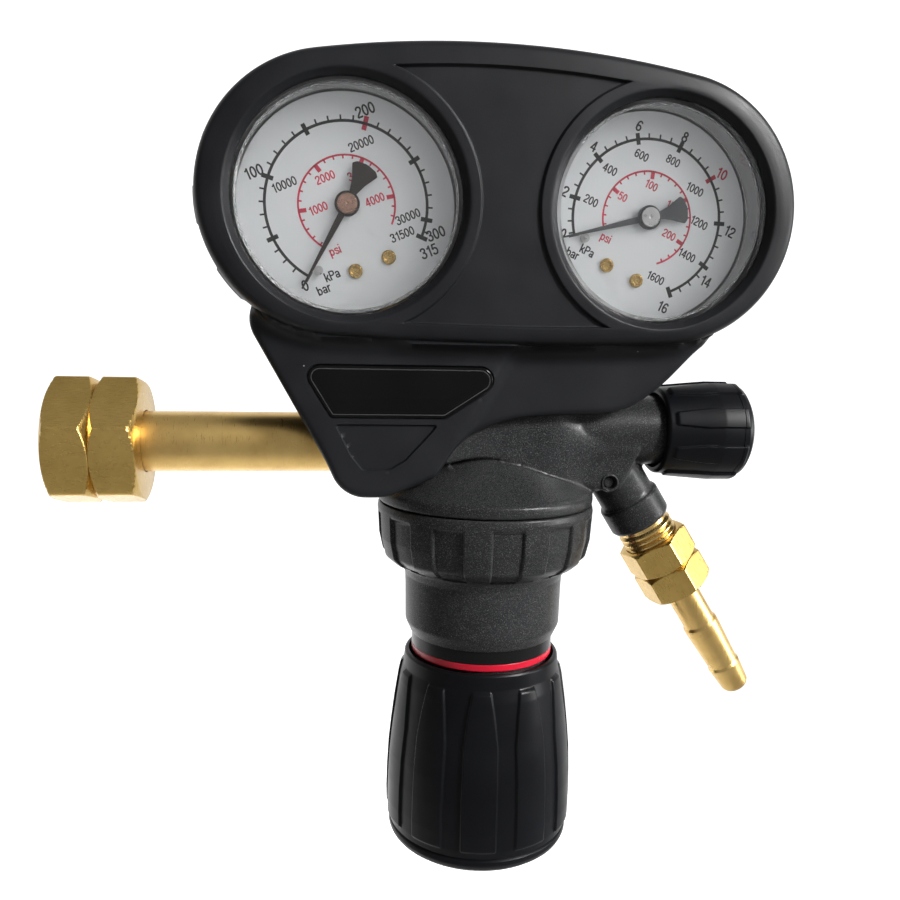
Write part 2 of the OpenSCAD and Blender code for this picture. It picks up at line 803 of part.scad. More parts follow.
module wing_block() {
  slab_y(wing_front, shield_back)
    polygon([[-22, 40], [-20, -8], [-16.8, -7], [-13.8, -2.6], [-10.8, 1.2], [-6.6, 4.3], [-2, 6.4], [3, 7.9],
      [9, 8.8], [17.5, 9.4], [28, 9.7], [32.5, 10.2], [36.5, 11.3], [40, 13], [44, 15.8], [48, 19.2],
      [51.5, 22.8], [55.5, 27], [60, 31], [60, 44]]);
}

// name plate outline, grown by g
function plate_pts(g) = concat(arc_pts(-48.4, 19.2, 3.1 + g, 90, 205, 7),
  arc_pts(-45.4, 10.2, 1 + g, 208, 270, 3), arc_pts(-16.4, 11, 1.8 + g, 270, 312, 3),
  arc_pts(-7.1, 18.6, 3.5 + g, 314, 450, 8));

module gauge_cover() {
  color("#222226")
  at_axis()
  difference() {
    union() {
      cover_block();
      shield_block();
      wing_block();
    }
    for (side = [-1, 1])
      translate([side * gauge_x, 0, gauge_z]) {
        rotate([-90, 0, 0])
          rotate_extrude()
          polygon([[0, cover_front - 1], [window_open_r, cover_front - 1], [window_open_r, cover_front],
            [window_open_r - lip_w, cover_front + 1.95], [window_open_r - lip_w, cover_front + 4],
            [0, cover_front + 4]]);
        rod_y(case_r + pocket_gap, dial_y + case_front - 0.15, cover_wall_back);
      }
    // hollow between the gauges and the way down to the body
    translate([-14, cover_front + 5, 42]) cube([28, cover_wall_back - cover_front - 5, 50]);
    slab_y(shield_back + 0.4, cover_back + 1)
      polygon([[-39, 44], [-34, 6], [34, 6], [39, 44]]);
    // room for the body's core behind the shield
    rotate_extrude()
      polygon([[0, -20], [core_low_r + pocket_gap, -20], [core_low_r + pocket_gap, -3],
        [core_r + pocket_gap, core_top + pocket_gap], [0, core_top + pocket_gap]]);
    // shallow panel between the two openings
    slab_y(cover_front - 1, cover_front + 0.8)
      difference() {
        polygon([[-33, 95.8], [-16, 97.3], [0, 97.8], [16, 97.3], [33, 95.8], [29, 33.6], [0, 32.6], [-29, 33.6]]);
        for (side = [-1, 1]) translate([side * gauge_x, gauge_z]) circle(r = window_open_r + 3);
      }
    // pocket for the name plate and the bare panel below it
    slab_y(shield_front - 1, shield_front + 0.8) polygon(plate_pts(0.15));
    slab_y(shield_front - 1, shield_front + 0.9)
      polygon([[-44.8, 7.6], [-17, 7.2], [-21, -0.6], [-33.2, -5.6], [-36, -5.6], [-38.2, -4.2]]);
  }
}

module label_plate() {
  color("#050505")
  at_axis()
  slab_y(shield_front - 0.1, shield_front + 0.75) polygon(plate_pts(0));
}

// gauges

module gauge_case(side) {
  color("#2b2b2b")
  at_gauge(side)
  difference() {
    rod_y(case_r, case_front, case_back);
    rod_y(case_r - 1, case_front - 1, case_back - 1);
    translate([0, dial_yc, -case_r - 5]) cylinder(r = 7.1, h = 12);
  }
}

module gauge_socket(side) {
  color("goldenrod")
  at_gauge(side)
  translate([0, dial_yc, 0])
  difference() {
    union() {
      translate([-7, -4.5, -24]) cube([14, 9, 9]);
      translate([0, 0, -square_in - 1]) cylinder(r = 7, h = square_in - 20);
      translate([-7, -7, -square_out]) cube([14, 14, square_out - square_in]);
      translate([0, 0, -square_out - gauge_thread_l]) cylinder(r = gauge_thread_r, h = gauge_thread_l + 1);
    }
    translate([0, 0, -square_out - gauge_thread_l - 1]) cylinder(r = 1.4, h = 30);
    translate([0, 0, -square_out + 0.4])
      rotate_extrude() polygon([[8.2, -1], [10.5, -1], [10.5, 1.2]]);
  }
}

module gauge_bourdon(side) {
  color("goldenrod")
  at_gauge(side)
  translate([0, dial_yc - 3.2, 0])
  rotate([-90, 0, 0])
  rotate([0, 0, 113])
  rotate_extrude(angle = 250)
    translate([17.2, 0]) square([2.6, 6.4]);
}

module gauge_movement(side) {
  color("goldenrod")
  at_gauge(side)
  difference() {
    union() {
      slab_y(3.4, 4.4) polygon([[-7, 7], [7, 7], [8, -19], [-8, -19]]);
      slab_y(13.4, 14.4) polygon([[-7, 7], [7, 7], [8, -14.6], [-8, -14.6]]);
      for (x = [-5.5, 5.5]) translate([x, 0, -13]) rod_y(1.2, 1, 14);
      for (x = [-5.5, 5.5]) translate([x, 0, 5]) rod_y(1.2, 4, 14);
      for (x = [-screw_x, screw_x]) translate([x, 0, screw_z]) rod_y(1.6, dial_t + seat_gap, 5);
      translate([-7, 4, -14.95]) cube([14, 10, 1.5]);
    }
    rod_y(arbor_r + run_gap, 3, 15);
    translate([0, 0, sector_z]) rod_y(0.8 + run_gap, 3, 15);
    for (x = [-screw_x, screw_x]) translate([x, 0, screw_z]) rod_y(0.85, 0, 4);
  }
}

module gauge_sector(side) {
  color("goldenrod")
  at_gauge(side)
  translate([0, 0, sector_z])
  union() {
    rod_y(0.8, 4.6, 13.2);
    slab_y(7, 8)
      intersection() {
        circle(r = -sector_z - 1.75);
        polygon([[-1.6, -1.4], [1.6, -1.4], [4.6, 8], [-4.6, 8]]);
      }
  }
}

module gauge_dial(side) {
  color("white")
  at_gauge(side)
  difference() {
    rod_y(dial_r, 0, dial_t);
    rod_y(1.6, -1, 1);
    for (x = [-screw_x, screw_x]) translate([x, 0, screw_z]) rod_y(0.85, -1, 1);
    rotate([0, zero_angle - 4.6, 0]) translate([0, 0, pin_at]) rod_y(0.5, -1, 1);
  }
}

module gauge_pointer(side) {
  color("#1a1614")
  at_gauge(side)
  union() {
    rod_y(arbor_r, -2.6, 14.2);
    rod_y(1.5, 7.2, 8.4);
    rod_y(3.3, -2.3, -1.5);
    rod_y(2.65, -3.1, -1.5);
    rotate([0, zero_angle, 0])
      slab_y(-2.2, -1.6)
      polygon([[-0.22, 25.2], [0.22, 25.2], [1.25, 1], [1.3, -3], [3.7, -9.6], [2.6, -10.9], [0, -11.4], [-2.6, -10.9],
        [-3.7, -9.6], [-1.3, -3], [-1.25, 1]]);
  }
}

module gauge_window(side) {
  color("#cfd8dc80")
  at_gauge(side)
  difference() {
    rotate([-90, 0, 0])
      rotate_extrude()
      polygon([[0, case_front + 0.1], [case_r - 1.9, case_front + 0.1], [case_r - 1.1, case_front + 0.7],
        [case_r - 1.1, -0.6], [0, -0.6]]);
    rotate([-90, 0, 0])
      rotate_extrude()
      polygon([[0, case_front + 2], [case_r - 3.9, case_front + 2], [case_r - 3.1, case_front + 2.8],
        [case_r - 2.5, 0], [0, 0]]);
  }
}

module dial_screws() {
  color("goldenrod")
  for (side = [-1, 1])
    at_gauge(side)
      for (x = [-screw_x, screw_x])
        translate([x, 0, screw_z])
        difference() {
          union() {
            rod_y(0.8, -0.5, 3.8);
            rod_y(1.9, -1, -seat_gap);
          }
          translate([-2, -1.5, -0.25]) cube([4, 0.9, 0.5]);
        }
}

module stop_pins() {
  color("silver")
  for (side = [-1, 1])
    at_gauge(side)
      rotate([0, zero_angle - 4.6, 0])
      translate([0, 0, pin_at])
      union() {
        rod_y(0.45, -2.6, 0.5);
        rod_y(1.2, -1.2, -seat_gap);
      }
}

inlet_nut();
inlet_stem();
inlet_seal();
inlet_filter();
body();
body_pin();
relief_valve();
outlet_nipple();
valve_cartridge();
valve_seat();
poppet();
poppet_spring();
diaphragm();
diaphragm_plate();
diaphragm_stud();
slip_ring();
bonnet();
screw_insert();
adjusting_spring();
spring_button();
adjusting_screw();
adjusting_knob();
knob_nut();
knob_cap();
label_band();
colour_ring();
outlet_knob();
outlet_knob_cap();
outlet_spindle();
gland_nut();
spindle_seal();
outlet_disc();
outlet_nut();
hose_barb();
gauge_cover();
label_plate();
gauge_case(-1);  // left_case
gauge_socket(-1);  // left_socket
gauge_bourdon(-1);  // left_bourdon
gauge_movement(-1);  // left_movement
gauge_sector(-1);  // left_sector
gauge_dial(-1);  // left_dial
gauge_pointer(-1);  // left_pointer
gauge_window(-1);  // left_window
gauge_case(1);  // right_case
gauge_socket(1);  // right_socket
gauge_bourdon(1);  // right_bourdon
gauge_movement(1);  // right_movement
gauge_sector(1);  // right_sector
gauge_dial(1);  // right_dial
gauge_pointer(1);  // right_pointer
gauge_window(1);  // right_window
dial_screws();
stop_pins();
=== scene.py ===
import math

import bmesh
import bpy
import numpy as np
from mathutils import Matrix, Vector
from mathutils.geometry import delaunay_2d_cdt


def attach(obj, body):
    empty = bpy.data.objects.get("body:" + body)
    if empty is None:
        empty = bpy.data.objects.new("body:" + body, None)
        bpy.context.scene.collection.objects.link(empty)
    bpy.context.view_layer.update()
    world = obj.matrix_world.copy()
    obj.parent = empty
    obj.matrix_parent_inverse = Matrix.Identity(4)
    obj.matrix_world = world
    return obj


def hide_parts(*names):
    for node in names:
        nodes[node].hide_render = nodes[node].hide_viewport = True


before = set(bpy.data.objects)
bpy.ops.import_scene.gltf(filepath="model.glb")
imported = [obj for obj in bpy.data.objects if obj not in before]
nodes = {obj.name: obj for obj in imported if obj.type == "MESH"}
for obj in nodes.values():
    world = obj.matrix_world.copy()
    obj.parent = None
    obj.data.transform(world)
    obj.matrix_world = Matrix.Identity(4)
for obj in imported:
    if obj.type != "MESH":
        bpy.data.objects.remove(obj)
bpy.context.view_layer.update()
MM = 0.001
AX = 117.4
ARM_Z = 4.0
OUT_X, OUT_SLOPE = 33.3, 57.2
GX, GZ, DIAL_Y, LEAN = 41.4, 64.2, -10.6, 24.0
SEAM = -114.1


# meshes

def link(obj):
    bpy.context.scene.collection.objects.link(obj)
    return obj


def sharpen(mesh, degrees):
    bm = bmesh.new()
    bm.from_mesh(mesh)
    limit = math.radians(degrees)
    for f in bm.faces:
        f.smooth = True
    for e in bm.edges:
        e.smooth = len(e.link_faces) == 2 and e.calc_face_angle(0.0) < limit
    bm.to_mesh(mesh)
    bm.free()


def mesh_from(name, verts, faces, merge=2e-6, normals=True):
    """verts in millimetres"""
    mesh = bpy.data.meshes.new(name)
    mesh.from_pydata((np.asarray(verts, float) * MM).tolist(), [], faces)
    bm = bmesh.new()
    bm.from_mesh(mesh)
    if merge:
        bmesh.ops.remove_doubles(bm, verts=bm.verts, dist=merge)
    if normals:
        bmesh.ops.recalc_face_normals(bm, faces=bm.faces)
    bm.to_mesh(mesh)
    bm.free()
    return mesh


def piece(name, mesh, body, material, stands=(), angle=38):
    sharpen(mesh, angle)
    obj = link(bpy.data.objects.new(name, mesh))
    mesh.materials.clear()
    mesh.materials.append(material)
    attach(obj, body)
    if stands:
        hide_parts(*stands)
    return obj


def applied(obj):
    """the mesh of obj with its modifiers, and obj goes"""
    bpy.context.view_layer.update()
    deps = bpy.context.evaluated_depsgraph_get()
    mesh = bpy.data.meshes.new_from_object(obj.evaluated_get(deps))
    bpy.data.objects.remove(obj)
    return mesh


def boolean(mesh, cutter, how):
    a = link(bpy.data.objects.new("work_a", mesh))
    b = link(bpy.data.objects.new("work_b", cutter))
    mod = a.modifiers.new("cut", "BOOLEAN")
    mod.operation = how
    mod.object = b
    mod.solver = "MANIFOLD"
    out = applied(a)
    bpy.data.objects.remove(b)
    return out


def smoothstep(t):
    t = np.clip(t, 0.0, 1.0)
    return t * t * (3 - 2 * t)


def softmin(a, b, k):
    h = np.clip(0.5 + 0.5 * (b - a) / k, 0, 1)
    return b * (1 - h) + a * h - k * h * (1 - h)


def fillet(points, radii, seg=4):
    """rounds the corners of a closed polygon; radii holds one radius a corner, 0 keeps it"""
    out = []
    n = len(points)
    for i in range(n):
        p = np.array(points[i], float)
        a = np.array(points[i - 1], float) - p
        b = np.array(points[(i + 1) % n], float) - p
        r = radii[i] if hasattr(radii, "__len__") else radii
        la, lb = np.linalg.norm(a), np.linalg.norm(b)
        if r <= 0 or la < 1e-6 or lb < 1e-6:
            out.append(tuple(p))
            continue
        a, b = a / la, b / lb
        half = math.acos(max(-1, min(1, float(a @ b)))) / 2
        if half > math.radians(87):
            out.append(tuple(p))
            continue
        t = min(r / math.tan(half), 0.45 * la, 0.45 * lb)
        s, e = p + a * t, p + b * t
        for k in range(seg + 1):
            u = k / seg
            q = (1 - u) ** 2 * s + 2 * u * (1 - u) * p + u * u * e
            out.append(tuple(q))
    return out


def densify(points, step):
    out = []
    n = len(points)
    for i in range(n):
        p = np.array(points[i], float)
        q = np.array(points[(i + 1) % n], float)
        m = max(1, int(math.ceil(np.linalg.norm(q - p) / step)))
        for k in range(m):
            out.append(tuple(p + (q - p) * k / m))
    return out


def lathe(profile, angles, radial=None):
    """a closed (r, z) profile turned about Z; angles is an array, or one row of angles a profile point"""
    prof = np.array(profile, float)
    m = len(prof)
    ang = np.array(angles, float)
    if ang.ndim == 1:
        ang = np.tile(ang, (m, 1))
    n = ang.shape[1]
    r = np.tile(prof[:, 0:1], (1, n))
    z = np.tile(prof[:, 1:2], (1, n))
    if radial is not None:
        r = radial(ang, r, z)
    verts = np.stack([r * np.cos(ang), r * np.sin(ang), z], -1).reshape(-1, 3)
    faces = []
    for i in range(m):
        i2 = (i + 1) % m
        for j in range(n):
            j2 = (j + 1) % n
            faces.append((i * n + j, i * n + j2, i2 * n + j2, i2 * n + j))
    return verts, faces


def ring(n=144):
    return np.linspace(0, 2 * math.pi, n, endpoint=False)


def along_z(v):
    return v + np.array([AX, 0, 0])


def along_x(v, z=ARM_Z):
    """local Z becomes +X"""
    return np.stack([v[:, 2] + AX, v[:, 1], -v[:, 0] + z], 1)


def rot_y(v, degrees):
    a = math.radians(degrees)
    c, s = math.cos(a), math.sin(a)
    return np.stack([v[:, 0] * c + v[:, 2] * s, v[:, 1], -v[:, 0] * s + v[:, 2] * c], 1)


def at_outlet(v):
    return rot_y(v, 90 + OUT_SLOPE) + np.array([AX + OUT_X, 0, 0])


def at_gauge(v, side):
    return rot_y(v, side * LEAN) + np.array([AX + side * GX, DIAL_Y, GZ])


# materials

def new_material(name, color, metallic=0.0, rough=0.5, specular=0.5, coat=0.0):
    m = bpy.data.materials.new(name)
    m.use_nodes = True
    n, l = m.node_tree.nodes, m.node_tree.links
    b = n["Principled BSDF"]
    b.inputs["Base Color"].default_value = (*color, 1)
    b.inputs["Metallic"].default_value = metallic
    b.inputs["Roughness"].default_value = rough
    b.inputs["Specular IOR Level"].default_value = specular
    b.inputs["Coat Weight"].default_value = coat
    return m, n, l, b


def coords(n, l, scale=(1, 1, 1)):
    tc = n.new("ShaderNodeTexCoord")
    mp = n.new("ShaderNodeMapping")
    mp.inputs["Scale"].default_value = scale
    l.new(tc.outputs["Object"], mp.inputs["Vector"])
    return mp.outputs["Vector"]


def noise(n, l, vec, scale, detail=3.0, rough=0.5):
    t = n.new("ShaderNodeTexNoise")
    t.inputs["Scale"].default_value = scale
    t.inputs["Detail"].default_value = detail
    t.inputs["Roughness"].default_value = rough
    l.new(vec, t.inputs["Vector"])
    return t.outputs["Fac"]


def ramp(n, l, fac, stops):
    r = n.new("ShaderNodeValToRGB")
    e = r.color_ramp.elements
    while len(e) < len(stops):
        e.new(0.5)
    for i, (p, c) in enumerate(stops):
        e[i].position = p
        e[i].color = (*c, 1) if len(c) == 3 else c
    l.new(fac, r.inputs["Fac"])
    return r.outputs["Color"]


def grey(v):
    return (v, v, v)


def maprange(n, l, fac, a, b, c, d):
    r = n.new("ShaderNodeMapRange")
    for k, v in zip(("From Min", "From Max", "To Min", "To Max"), (a, b, c, d)):
        r.inputs[k].default_value = v
    l.new(fac, r.inputs["Value"])
    return r.outputs["Result"]


def bump(n, l, b, height, strength, distance, chain=None):
    t = n.new("ShaderNodeBump")
    t.inputs["Strength"].default_value = strength
    t.inputs["Distance"].default_value = distance
    l.new(height, t.inputs["Height"])
    if chain is not None:
        l.new(chain, t.inputs["Normal"])
    l.new(t.outputs["Normal"], b.inputs["Normal"])
    return t.outputs["Normal"]


def mix(n, l, fac, a, b):
    m = n.new("ShaderNodeMix")
    m.data_type = "RGBA"
    l.new(fac, m.inputs["Factor"])
    for sock, v in ((m.inputs["A"], a), (m.inputs["B"], b)):
        if hasattr(v, "links"):
            l.new(v, sock)
        else:
            sock.default_value = (*v, 1)
    return m.outputs["Result"]


def voronoi(n, l, vec, scale, out):
    t = n.new("ShaderNodeTexVoronoi")
    t.inputs["Scale"].default_value = scale
    l.new(vec, t.inputs["Vector"])
    return t.outputs[out]


def math_node(n, l, op, a, b):
    t = n.new("ShaderNodeMath")
    t.operation = op
    for i, v in enumerate((a, b)):
        if hasattr(v, "links"):
            l.new(v, t.inputs[i])
        else:
            t.inputs[i].default_value = v
    return t.outputs[0]


def dark_moulding(name, low, high, rough, grain, strength, specks, specular):
    m, n, l, b = new_material(name, high, rough=rough[0], specular=specular)
    v = coords(n, l)
    big = noise(n, l, v, 55, 4)
    base = ramp(n, l, big, [(0.3, low), (0.7, high)])
    if specks:
        cell = voronoi(n, l, v, specks, "Distance")
        pick = voronoi(n, l, v, specks, "Color")
        near = math_node(n, l, "LESS_THAN", cell, 0.05)
        some = math_node(n, l, "GREATER_THAN", pick, 0.72)
        base = mix(n, l, math_node(n, l, "MULTIPLY", near, some), base, (0.10, 0.10, 0.10))
    l.new(base, b.inputs["Base Color"])
    l.new(maprange(n, l, noise(n, l, v, 90, 5, 0.6), 0.3, 0.7, rough[0], rough[1]), b.inputs["Roughness"])
    bump(n, l, b, noise(n, l, v, grain, 3), strength, 0.0001)
    return m


def brass(name, color, dark, rough, streak, strength=0.25):
    """streak is the scale of the noise along X, Y and Z"""
    m, n, l, b = new_material(name, color, metallic=1.0, rough=rough[0])
    v = coords(n, l)
    big = noise(n, l, v, 70, 5, 0.6)
    l.new(ramp(n, l, big, [(0.3, dark), (0.62, color)]), b.inputs["Base Color"])
    lines = noise(n, l, coords(n, l, streak), 1.0, 4, 0.6)
    l.new(maprange(n, l, lines, 0.25, 0.75, rough[0], rough[1]), b.inputs["Roughness"])
    first = bump(n, l, b, lines, strength, 0.00004)
    dents = noise(n, l, v, 420, 2)
    bump(n, l, b, dents, 0.12, 0.0001, first)
    return m


rubber = dark_moulding("rubber", (0.0040, 0.0041, 0.0048), (0.0068, 0.0070, 0.0080), (0.36, 0.46), 2600, 0.25, 230, 0.10)
plastic = dark_moulding("knob_plastic_finish", (0.0016, 0.0017, 0.0022), (0.0026, 0.0028, 0.0036), (0.28, 0.38), 1800, 0.10, 0, 0.085)


def sparkle_paint():
    m, n, l, b = new_material("sparkle_paint", (0.02, 0.02, 0.02), metallic=0.0, rough=0.42, specular=0.10)
    v = coords(n, l)
    flake = voronoi(n, l, v, 8500, "Color")
    sep = n.new("ShaderNodeSeparateColor")
    l.new(flake, sep.inputs[0])
    bright = maprange(n, l, sep.outputs[0], 0.88, 1.0, 0.0, 1.0)
    tone = ramp(n, l, noise(n, l, v, 60, 4), [(0.3, (0.0075, 0.0077, 0.0080)), (0.7, (0.0115, 0.0118, 0.0122))])
    l.new(mix(n, l, bright, tone, (0.085, 0.085, 0.083)), b.inputs["Base Color"])
    l.new(maprange(n, l, sep.outputs[2], 0, 1, 0.24, 0.38), b.inputs["Roughness"])
    first = bump(n, l, b, sep.outputs[1], 0.10, 0.00004)
    bump(n, l, b, noise(n, l, v, 900, 3), 0.20, 0.0001, first)
    return m


paint = sparkle_paint()
brass_x = brass("brass_turned", (0.60, 0.41, 0.15), (0.48, 0.31, 0.105), (0.24, 0.40), (5200, 260, 260))
brass_flat = brass("brass_milled", (0.52, 0.35, 0.11), (0.42, 0.275, 0.08), (0.22, 0.38), (420, 4200, 420), 0.2)
brass_small = brass("brass_fine", (0.62, 0.43, 0.17), (0.50, 0.34, 0.12), (0.20, 0.34), (2600, 2600, 2600), 0.15)
inner_brass = brass("brass_inner_finish", (0.66, 0.47, 0.21), (0.56, 0.38, 0.16), (0.28, 0.42), (900, 900, 900))


def simple(name, low, high, scale, rough, metallic=0.0, specular=0.5, coat=0.0, grain=0, strength=0.2):
    m, n, l, b = new_material(name, high, metallic, rough, specular, coat)
    v = coords(n, l)
    l.new(ramp(n, l, noise(n, l, v, scale, 4), [(0.3, low), (0.7, high)]), b.inputs["Base Color"])
    l.new(maprange(n, l, noise(n, l, v, scale * 3, 3), 0.3, 0.7, rough * 0.85, rough * 1.15), b.inputs["Roughness"])
    if grain:
        bump(n, l, b, noise(n, l, v, grain, 3), strength, 0.00008)
    return m


steel = simple("steel_finish", grey(0.50), grey(0.62), 200, 0.3, 1.0, grain=2500)
bronze = simple("bronze_finish", (0.36, 0.20, 0.10), (0.50, 0.30, 0.16), 500, 0.6, 1.0, grain=3000, strength=0.6)
seal = simple("seal_finish", (0.70, 0.68, 0.60), (0.80, 0.78, 0.70), 120, 0.5, grain=800)
soft_black = simple("soft_black", grey(0.012), grey(0.02), 150, 0.6, grain=1500)
gloss_black = simple("gloss_black", grey(0.0015), grey(0.0022), 60, 0.08, specular=0.09)
band_black = simple("band_black_finish", grey(0.002), grey(0.003), 80, 0.22, specular=0.14, grain=1200, strength=0.05)
# painted highlight: a thin lighter line standing in for the light caught along the groove round the label plate
painted_groove_highlight = simple("painted_groove_highlight", grey(0.010), grey(0.016), 200, 0.42, specular=0.3)
red_gloss = simple("red_gloss", (0.24, 0.002, 0.011), (0.29, 0.003, 0.014), 90, 0.24, specular=0.3, grain=900, strength=0.05)


def case_liner():
    """black outside, a pale lining on the wall round the dial"""
    m, n, l, b = new_material("case_finish", grey(0.4), 0.0, 0.35, 0.5)
    v = coords(n, l)
    xyz = n.new("ShaderNodeSeparateXYZ")
    l.new(v, xyz.inputs[0])
    side = math_node(n, l, "ABSOLUTE", math_node(n, l, "SUBTRACT", xyz.outputs[0], AX * MM), 0.0)
    dx = math_node(n, l, "POWER", math_node(n, l, "SUBTRACT", side, GX * MM), 2.0)
    dz = math_node(n, l, "POWER", math_node(n, l, "SUBTRACT", xyz.outputs[2], GZ * MM), 2.0)
    near = math_node(n, l, "LESS_THAN", math_node(n, l, "ADD", dx, dz), 0.031 ** 2)
    near = math_node(n, l, "MULTIPLY", near, math_node(n, l, "LESS_THAN", xyz.outputs[1], 0.0079))
    pale = ramp(n, l, noise(n, l, v, 120, 3), [(0.3, (0.50, 0.51, 0.52)), (0.7, (0.60, 0.61, 0.62))])
    l.new(mix(n, l, near, (0.012, 0.012, 0.013), pale), b.inputs["Base Color"])
    bump(n, l, b, noise(n, l, v, 900, 3), 0.05, 0.00008)
    return m


case_finish = case_liner()
dial_white = simple("dial_white_finish", (0.82, 0.84, 0.85), (0.88, 0.90, 0.91), 25, 0.42, grain=600, strength=0.03)
ink_black = simple("ink_black", grey(0.012), grey(0.018), 400, 0.5)
ink_red = simple("ink_red", (0.50, 0.012, 0.05), (0.56, 0.018, 0.06), 400, 0.5)
copper_hub = simple("copper_hub", (0.42, 0.25, 0.19), (0.52, 0.33, 0.26), 300, 0.28, 1.0, grain=1500)
silver_hub = simple("silver_hub", grey(0.55), grey(0.66), 300, 0.3, 1.0, grain=1500)
needle_left = simple("needle_left", (0.016, 0.010, 0.008), (0.024, 0.015, 0.012), 200, 0.34, grain=700)
needle_right = simple("needle_right", (0.050, 0.054, 0.058), (0.068, 0.073, 0.078), 200, 0.34, grain=700)


def clear():
    m, n, l, b = new_material("clear_window", (1, 1, 1), rough=0.02)
    b.inputs["Transmission Weight"].default_value = 1.0
    b.inputs["IOR"].default_value = 1.46
    return m


window_clear = clear()

# camera

cam_data = bpy.data.cameras.new("camera")
cam_data.lens = 34.0
cam_data.sensor_width = 36.0
cam_data.clip_start = 0.01
cam = link(bpy.data.objects.new("camera", cam_data))
view = Matrix(((0.9883, -0.0023, -0.1526), (-0.151, 0.1297, -0.98), (0.022, 0.9916, 0.1278)))
cam.matrix_world = Matrix.Translation((0.06883, -0.24292, 0.02937)) @ view.to_4x4()
bpy.context.scene.camera = cam

# cover

C_R, C_X, C_Z, C_TOP, C_LOW = 35.9, 43.8, 65.0, 39.7, 37.1
TOP_R = (C_TOP ** 2 - C_R ** 2 + C_X ** 2) / (2 * (C_TOP - C_R))
LOW_R = (C_LOW ** 2 - C_R ** 2 + C_X ** 2) / (2 * (C_LOW - C_R))
TOP_B = math.degrees(math.asin(C_X / (TOP_R - C_R)))
LOW_B = math.degrees(math.asin(C_X / (LOW_R - C_R)))
FRONT, BACK = -24.8, 11.4
PAD = 0.45
WIN_R, LIP_R = 30.5, 29.0
PANEL_R = 33.5


def arc(cx, cz, r, a0, a1, step):
    n = max(2, int(abs(math.radians(a1 - a0)) * r / step))
    a = np.radians(np.linspace(a0, a1, n, endpoint=False))
    return np.stack([cx + r * np.cos(a), cz + r * np.sin(a)], 1)


def oval(d, step=0.6):
    return np.concatenate([
        arc(C_X, C_Z, C_R - d, -90 + LOW_B, 90 - TOP_B, step),
        arc(0, C_Z + C_TOP - TOP_R, TOP_R - d, 90 - TOP_B, 90 + TOP_B, step),
        arc(-C_X, C_Z, C_R - d, 90 + TOP_B, 270 - LOW_B, step),
        arc(0, C_Z - C_LOW + LOW_R, LOW_R - d, 270 - LOW_B, 270 + LOW_B, step)])


def distance(points, loop):
    """distance of each point to a closed loop, and whether it lies inside"""
    a = loop
    b = np.roll(loop, -1, 0)
    best = np.full(len(points), 1e9)
    inside = np.zeros(len(points), bool)
    for i in range(0, len(points), 2000):
        p = points[i:i + 2000, None, :]
        ab = b - a
        t = np.clip(((p - a) * ab).sum(-1) / np.maximum((ab ** 2).sum(-1), 1e-12), 0, 1)
        q = a + ab * t[..., None]
        best[i:i + 2000] = np.sqrt(((p - q) ** 2).sum(-1)).min(1)
        cross = (a[:, 1] > p[..., 1]) != (b[:, 1] > p[..., 1])
        dz = np.where(np.abs(ab[:, 1]) < 1e-9, 1e-9, ab[:, 1])
        x = a[:, 0] + (p[..., 1] - a[:, 1]) * ab[:, 0] / dz
        inside[i:i + 2000] = (cross & (p[..., 0] < x)).sum(1) % 2 == 1
    return best, inside


OUTER = oval(0.0)


def band_width(z):
    return 5.95 + 0.95 * np.tanh((z - 65) / 15)


def front_height(pts):
    d, _ = distance(pts, OUTER)
    d = np.maximum(d - PAD, 0)
    x, z = pts[:, 0], pts[:, 1]
    r = np.minimum(np.hypot(x - GX, z - GZ), np.hypot(x + GX, z - GZ))
    w = band_width(z) - PAD
    y = np.full(len(pts), FRONT)
    slope = np.clip((w - d) / w, 0, 1)
    y = y + 0.85 * slope ** 1.3 * smoothstep((r - WIN_R) / 4.0)
    edge = np.clip(1 - d / 2.3, 0, 1)
    y = y + 3.9 * (1 - np.sqrt(np.maximum(0, 1 - edge ** 2)))
    panel = np.maximum(w - d, PANEL_R - r)
    y = y + 0.95 * smoothstep(-panel / 0.55)
    lip = np.clip((WIN_R + 0.5 - r) / 0.5, 0, 1)
    y = y + 0.25 * lip ** 2
    y = np.where(r < WIN_R, FRONT + 0.25 + 1.62 * np.clip((WIN_R - r) / (WIN_R - LIP_R), 0, 1) ** 0.9, y)
    return y


def circle(cx, cz, r, step):
    return arc(cx, cz, r, 0, 360, step)


def inner_loop(extra, step=0.8):
    """the cover's outline moved in by the band's width and extra"""
    o = oval(0.0, step)
    t = np.roll(o, -1, 0) - np.roll(o, 1, 0)
    t /= np.linalg.norm(t, axis=1)[:, None]
    nrm = np.stack([-t[:, 1], t[:, 0]], 1)
    return o + nrm * (band_width(o[:, 1]) + extra)[:, None]


def triangulate(outline, holes, loops, extra=()):
    """triangles inside the outline and outside the holes, with their edges along every loop"""
    pts, edges, faces = [], [], []
    for k, loop in enumerate([outline] + list(holes) + list(loops)):
        base, n = len(pts), len(loop)
        pts += [Vector(p) for p in loop.tolist()]
        if k <= len(holes):
            faces.append(list(range(base, base + n)))
        else:
            edges += [(base + i, base + (i + 1) % n) for i in range(n)]
    pts += [Vector(p) for p in extra]
    v, _, f, _, _, owner = delaunay_2d_cdt(pts, edges, faces, 0, 1e-4)
    v = np.array([tuple(p) for p in v], float)
    keep = [tuple(t) for t, o in zip(f, owner) if 0 in o and not any(h + 1 in o for h in range(len(holes)))]
    return v, keep


def borders(faces):
    """the open edges of a sheet as loops of vertex numbers"""
    seen = {}
    for f in faces:
        for i in range(len(f)):
            seen[(f[i], f[(i + 1) % len(f)])] = True
    nxt = {a: b for a, b in seen if (b, a) not in seen}
    loops = []
    while nxt:
        a = next(iter(nxt))
        loop = [a]
        b = nxt.pop(a)
        while b != a:
            loop.append(b)
            b = nxt.pop(b)
        loops.append(loop)
    return loops


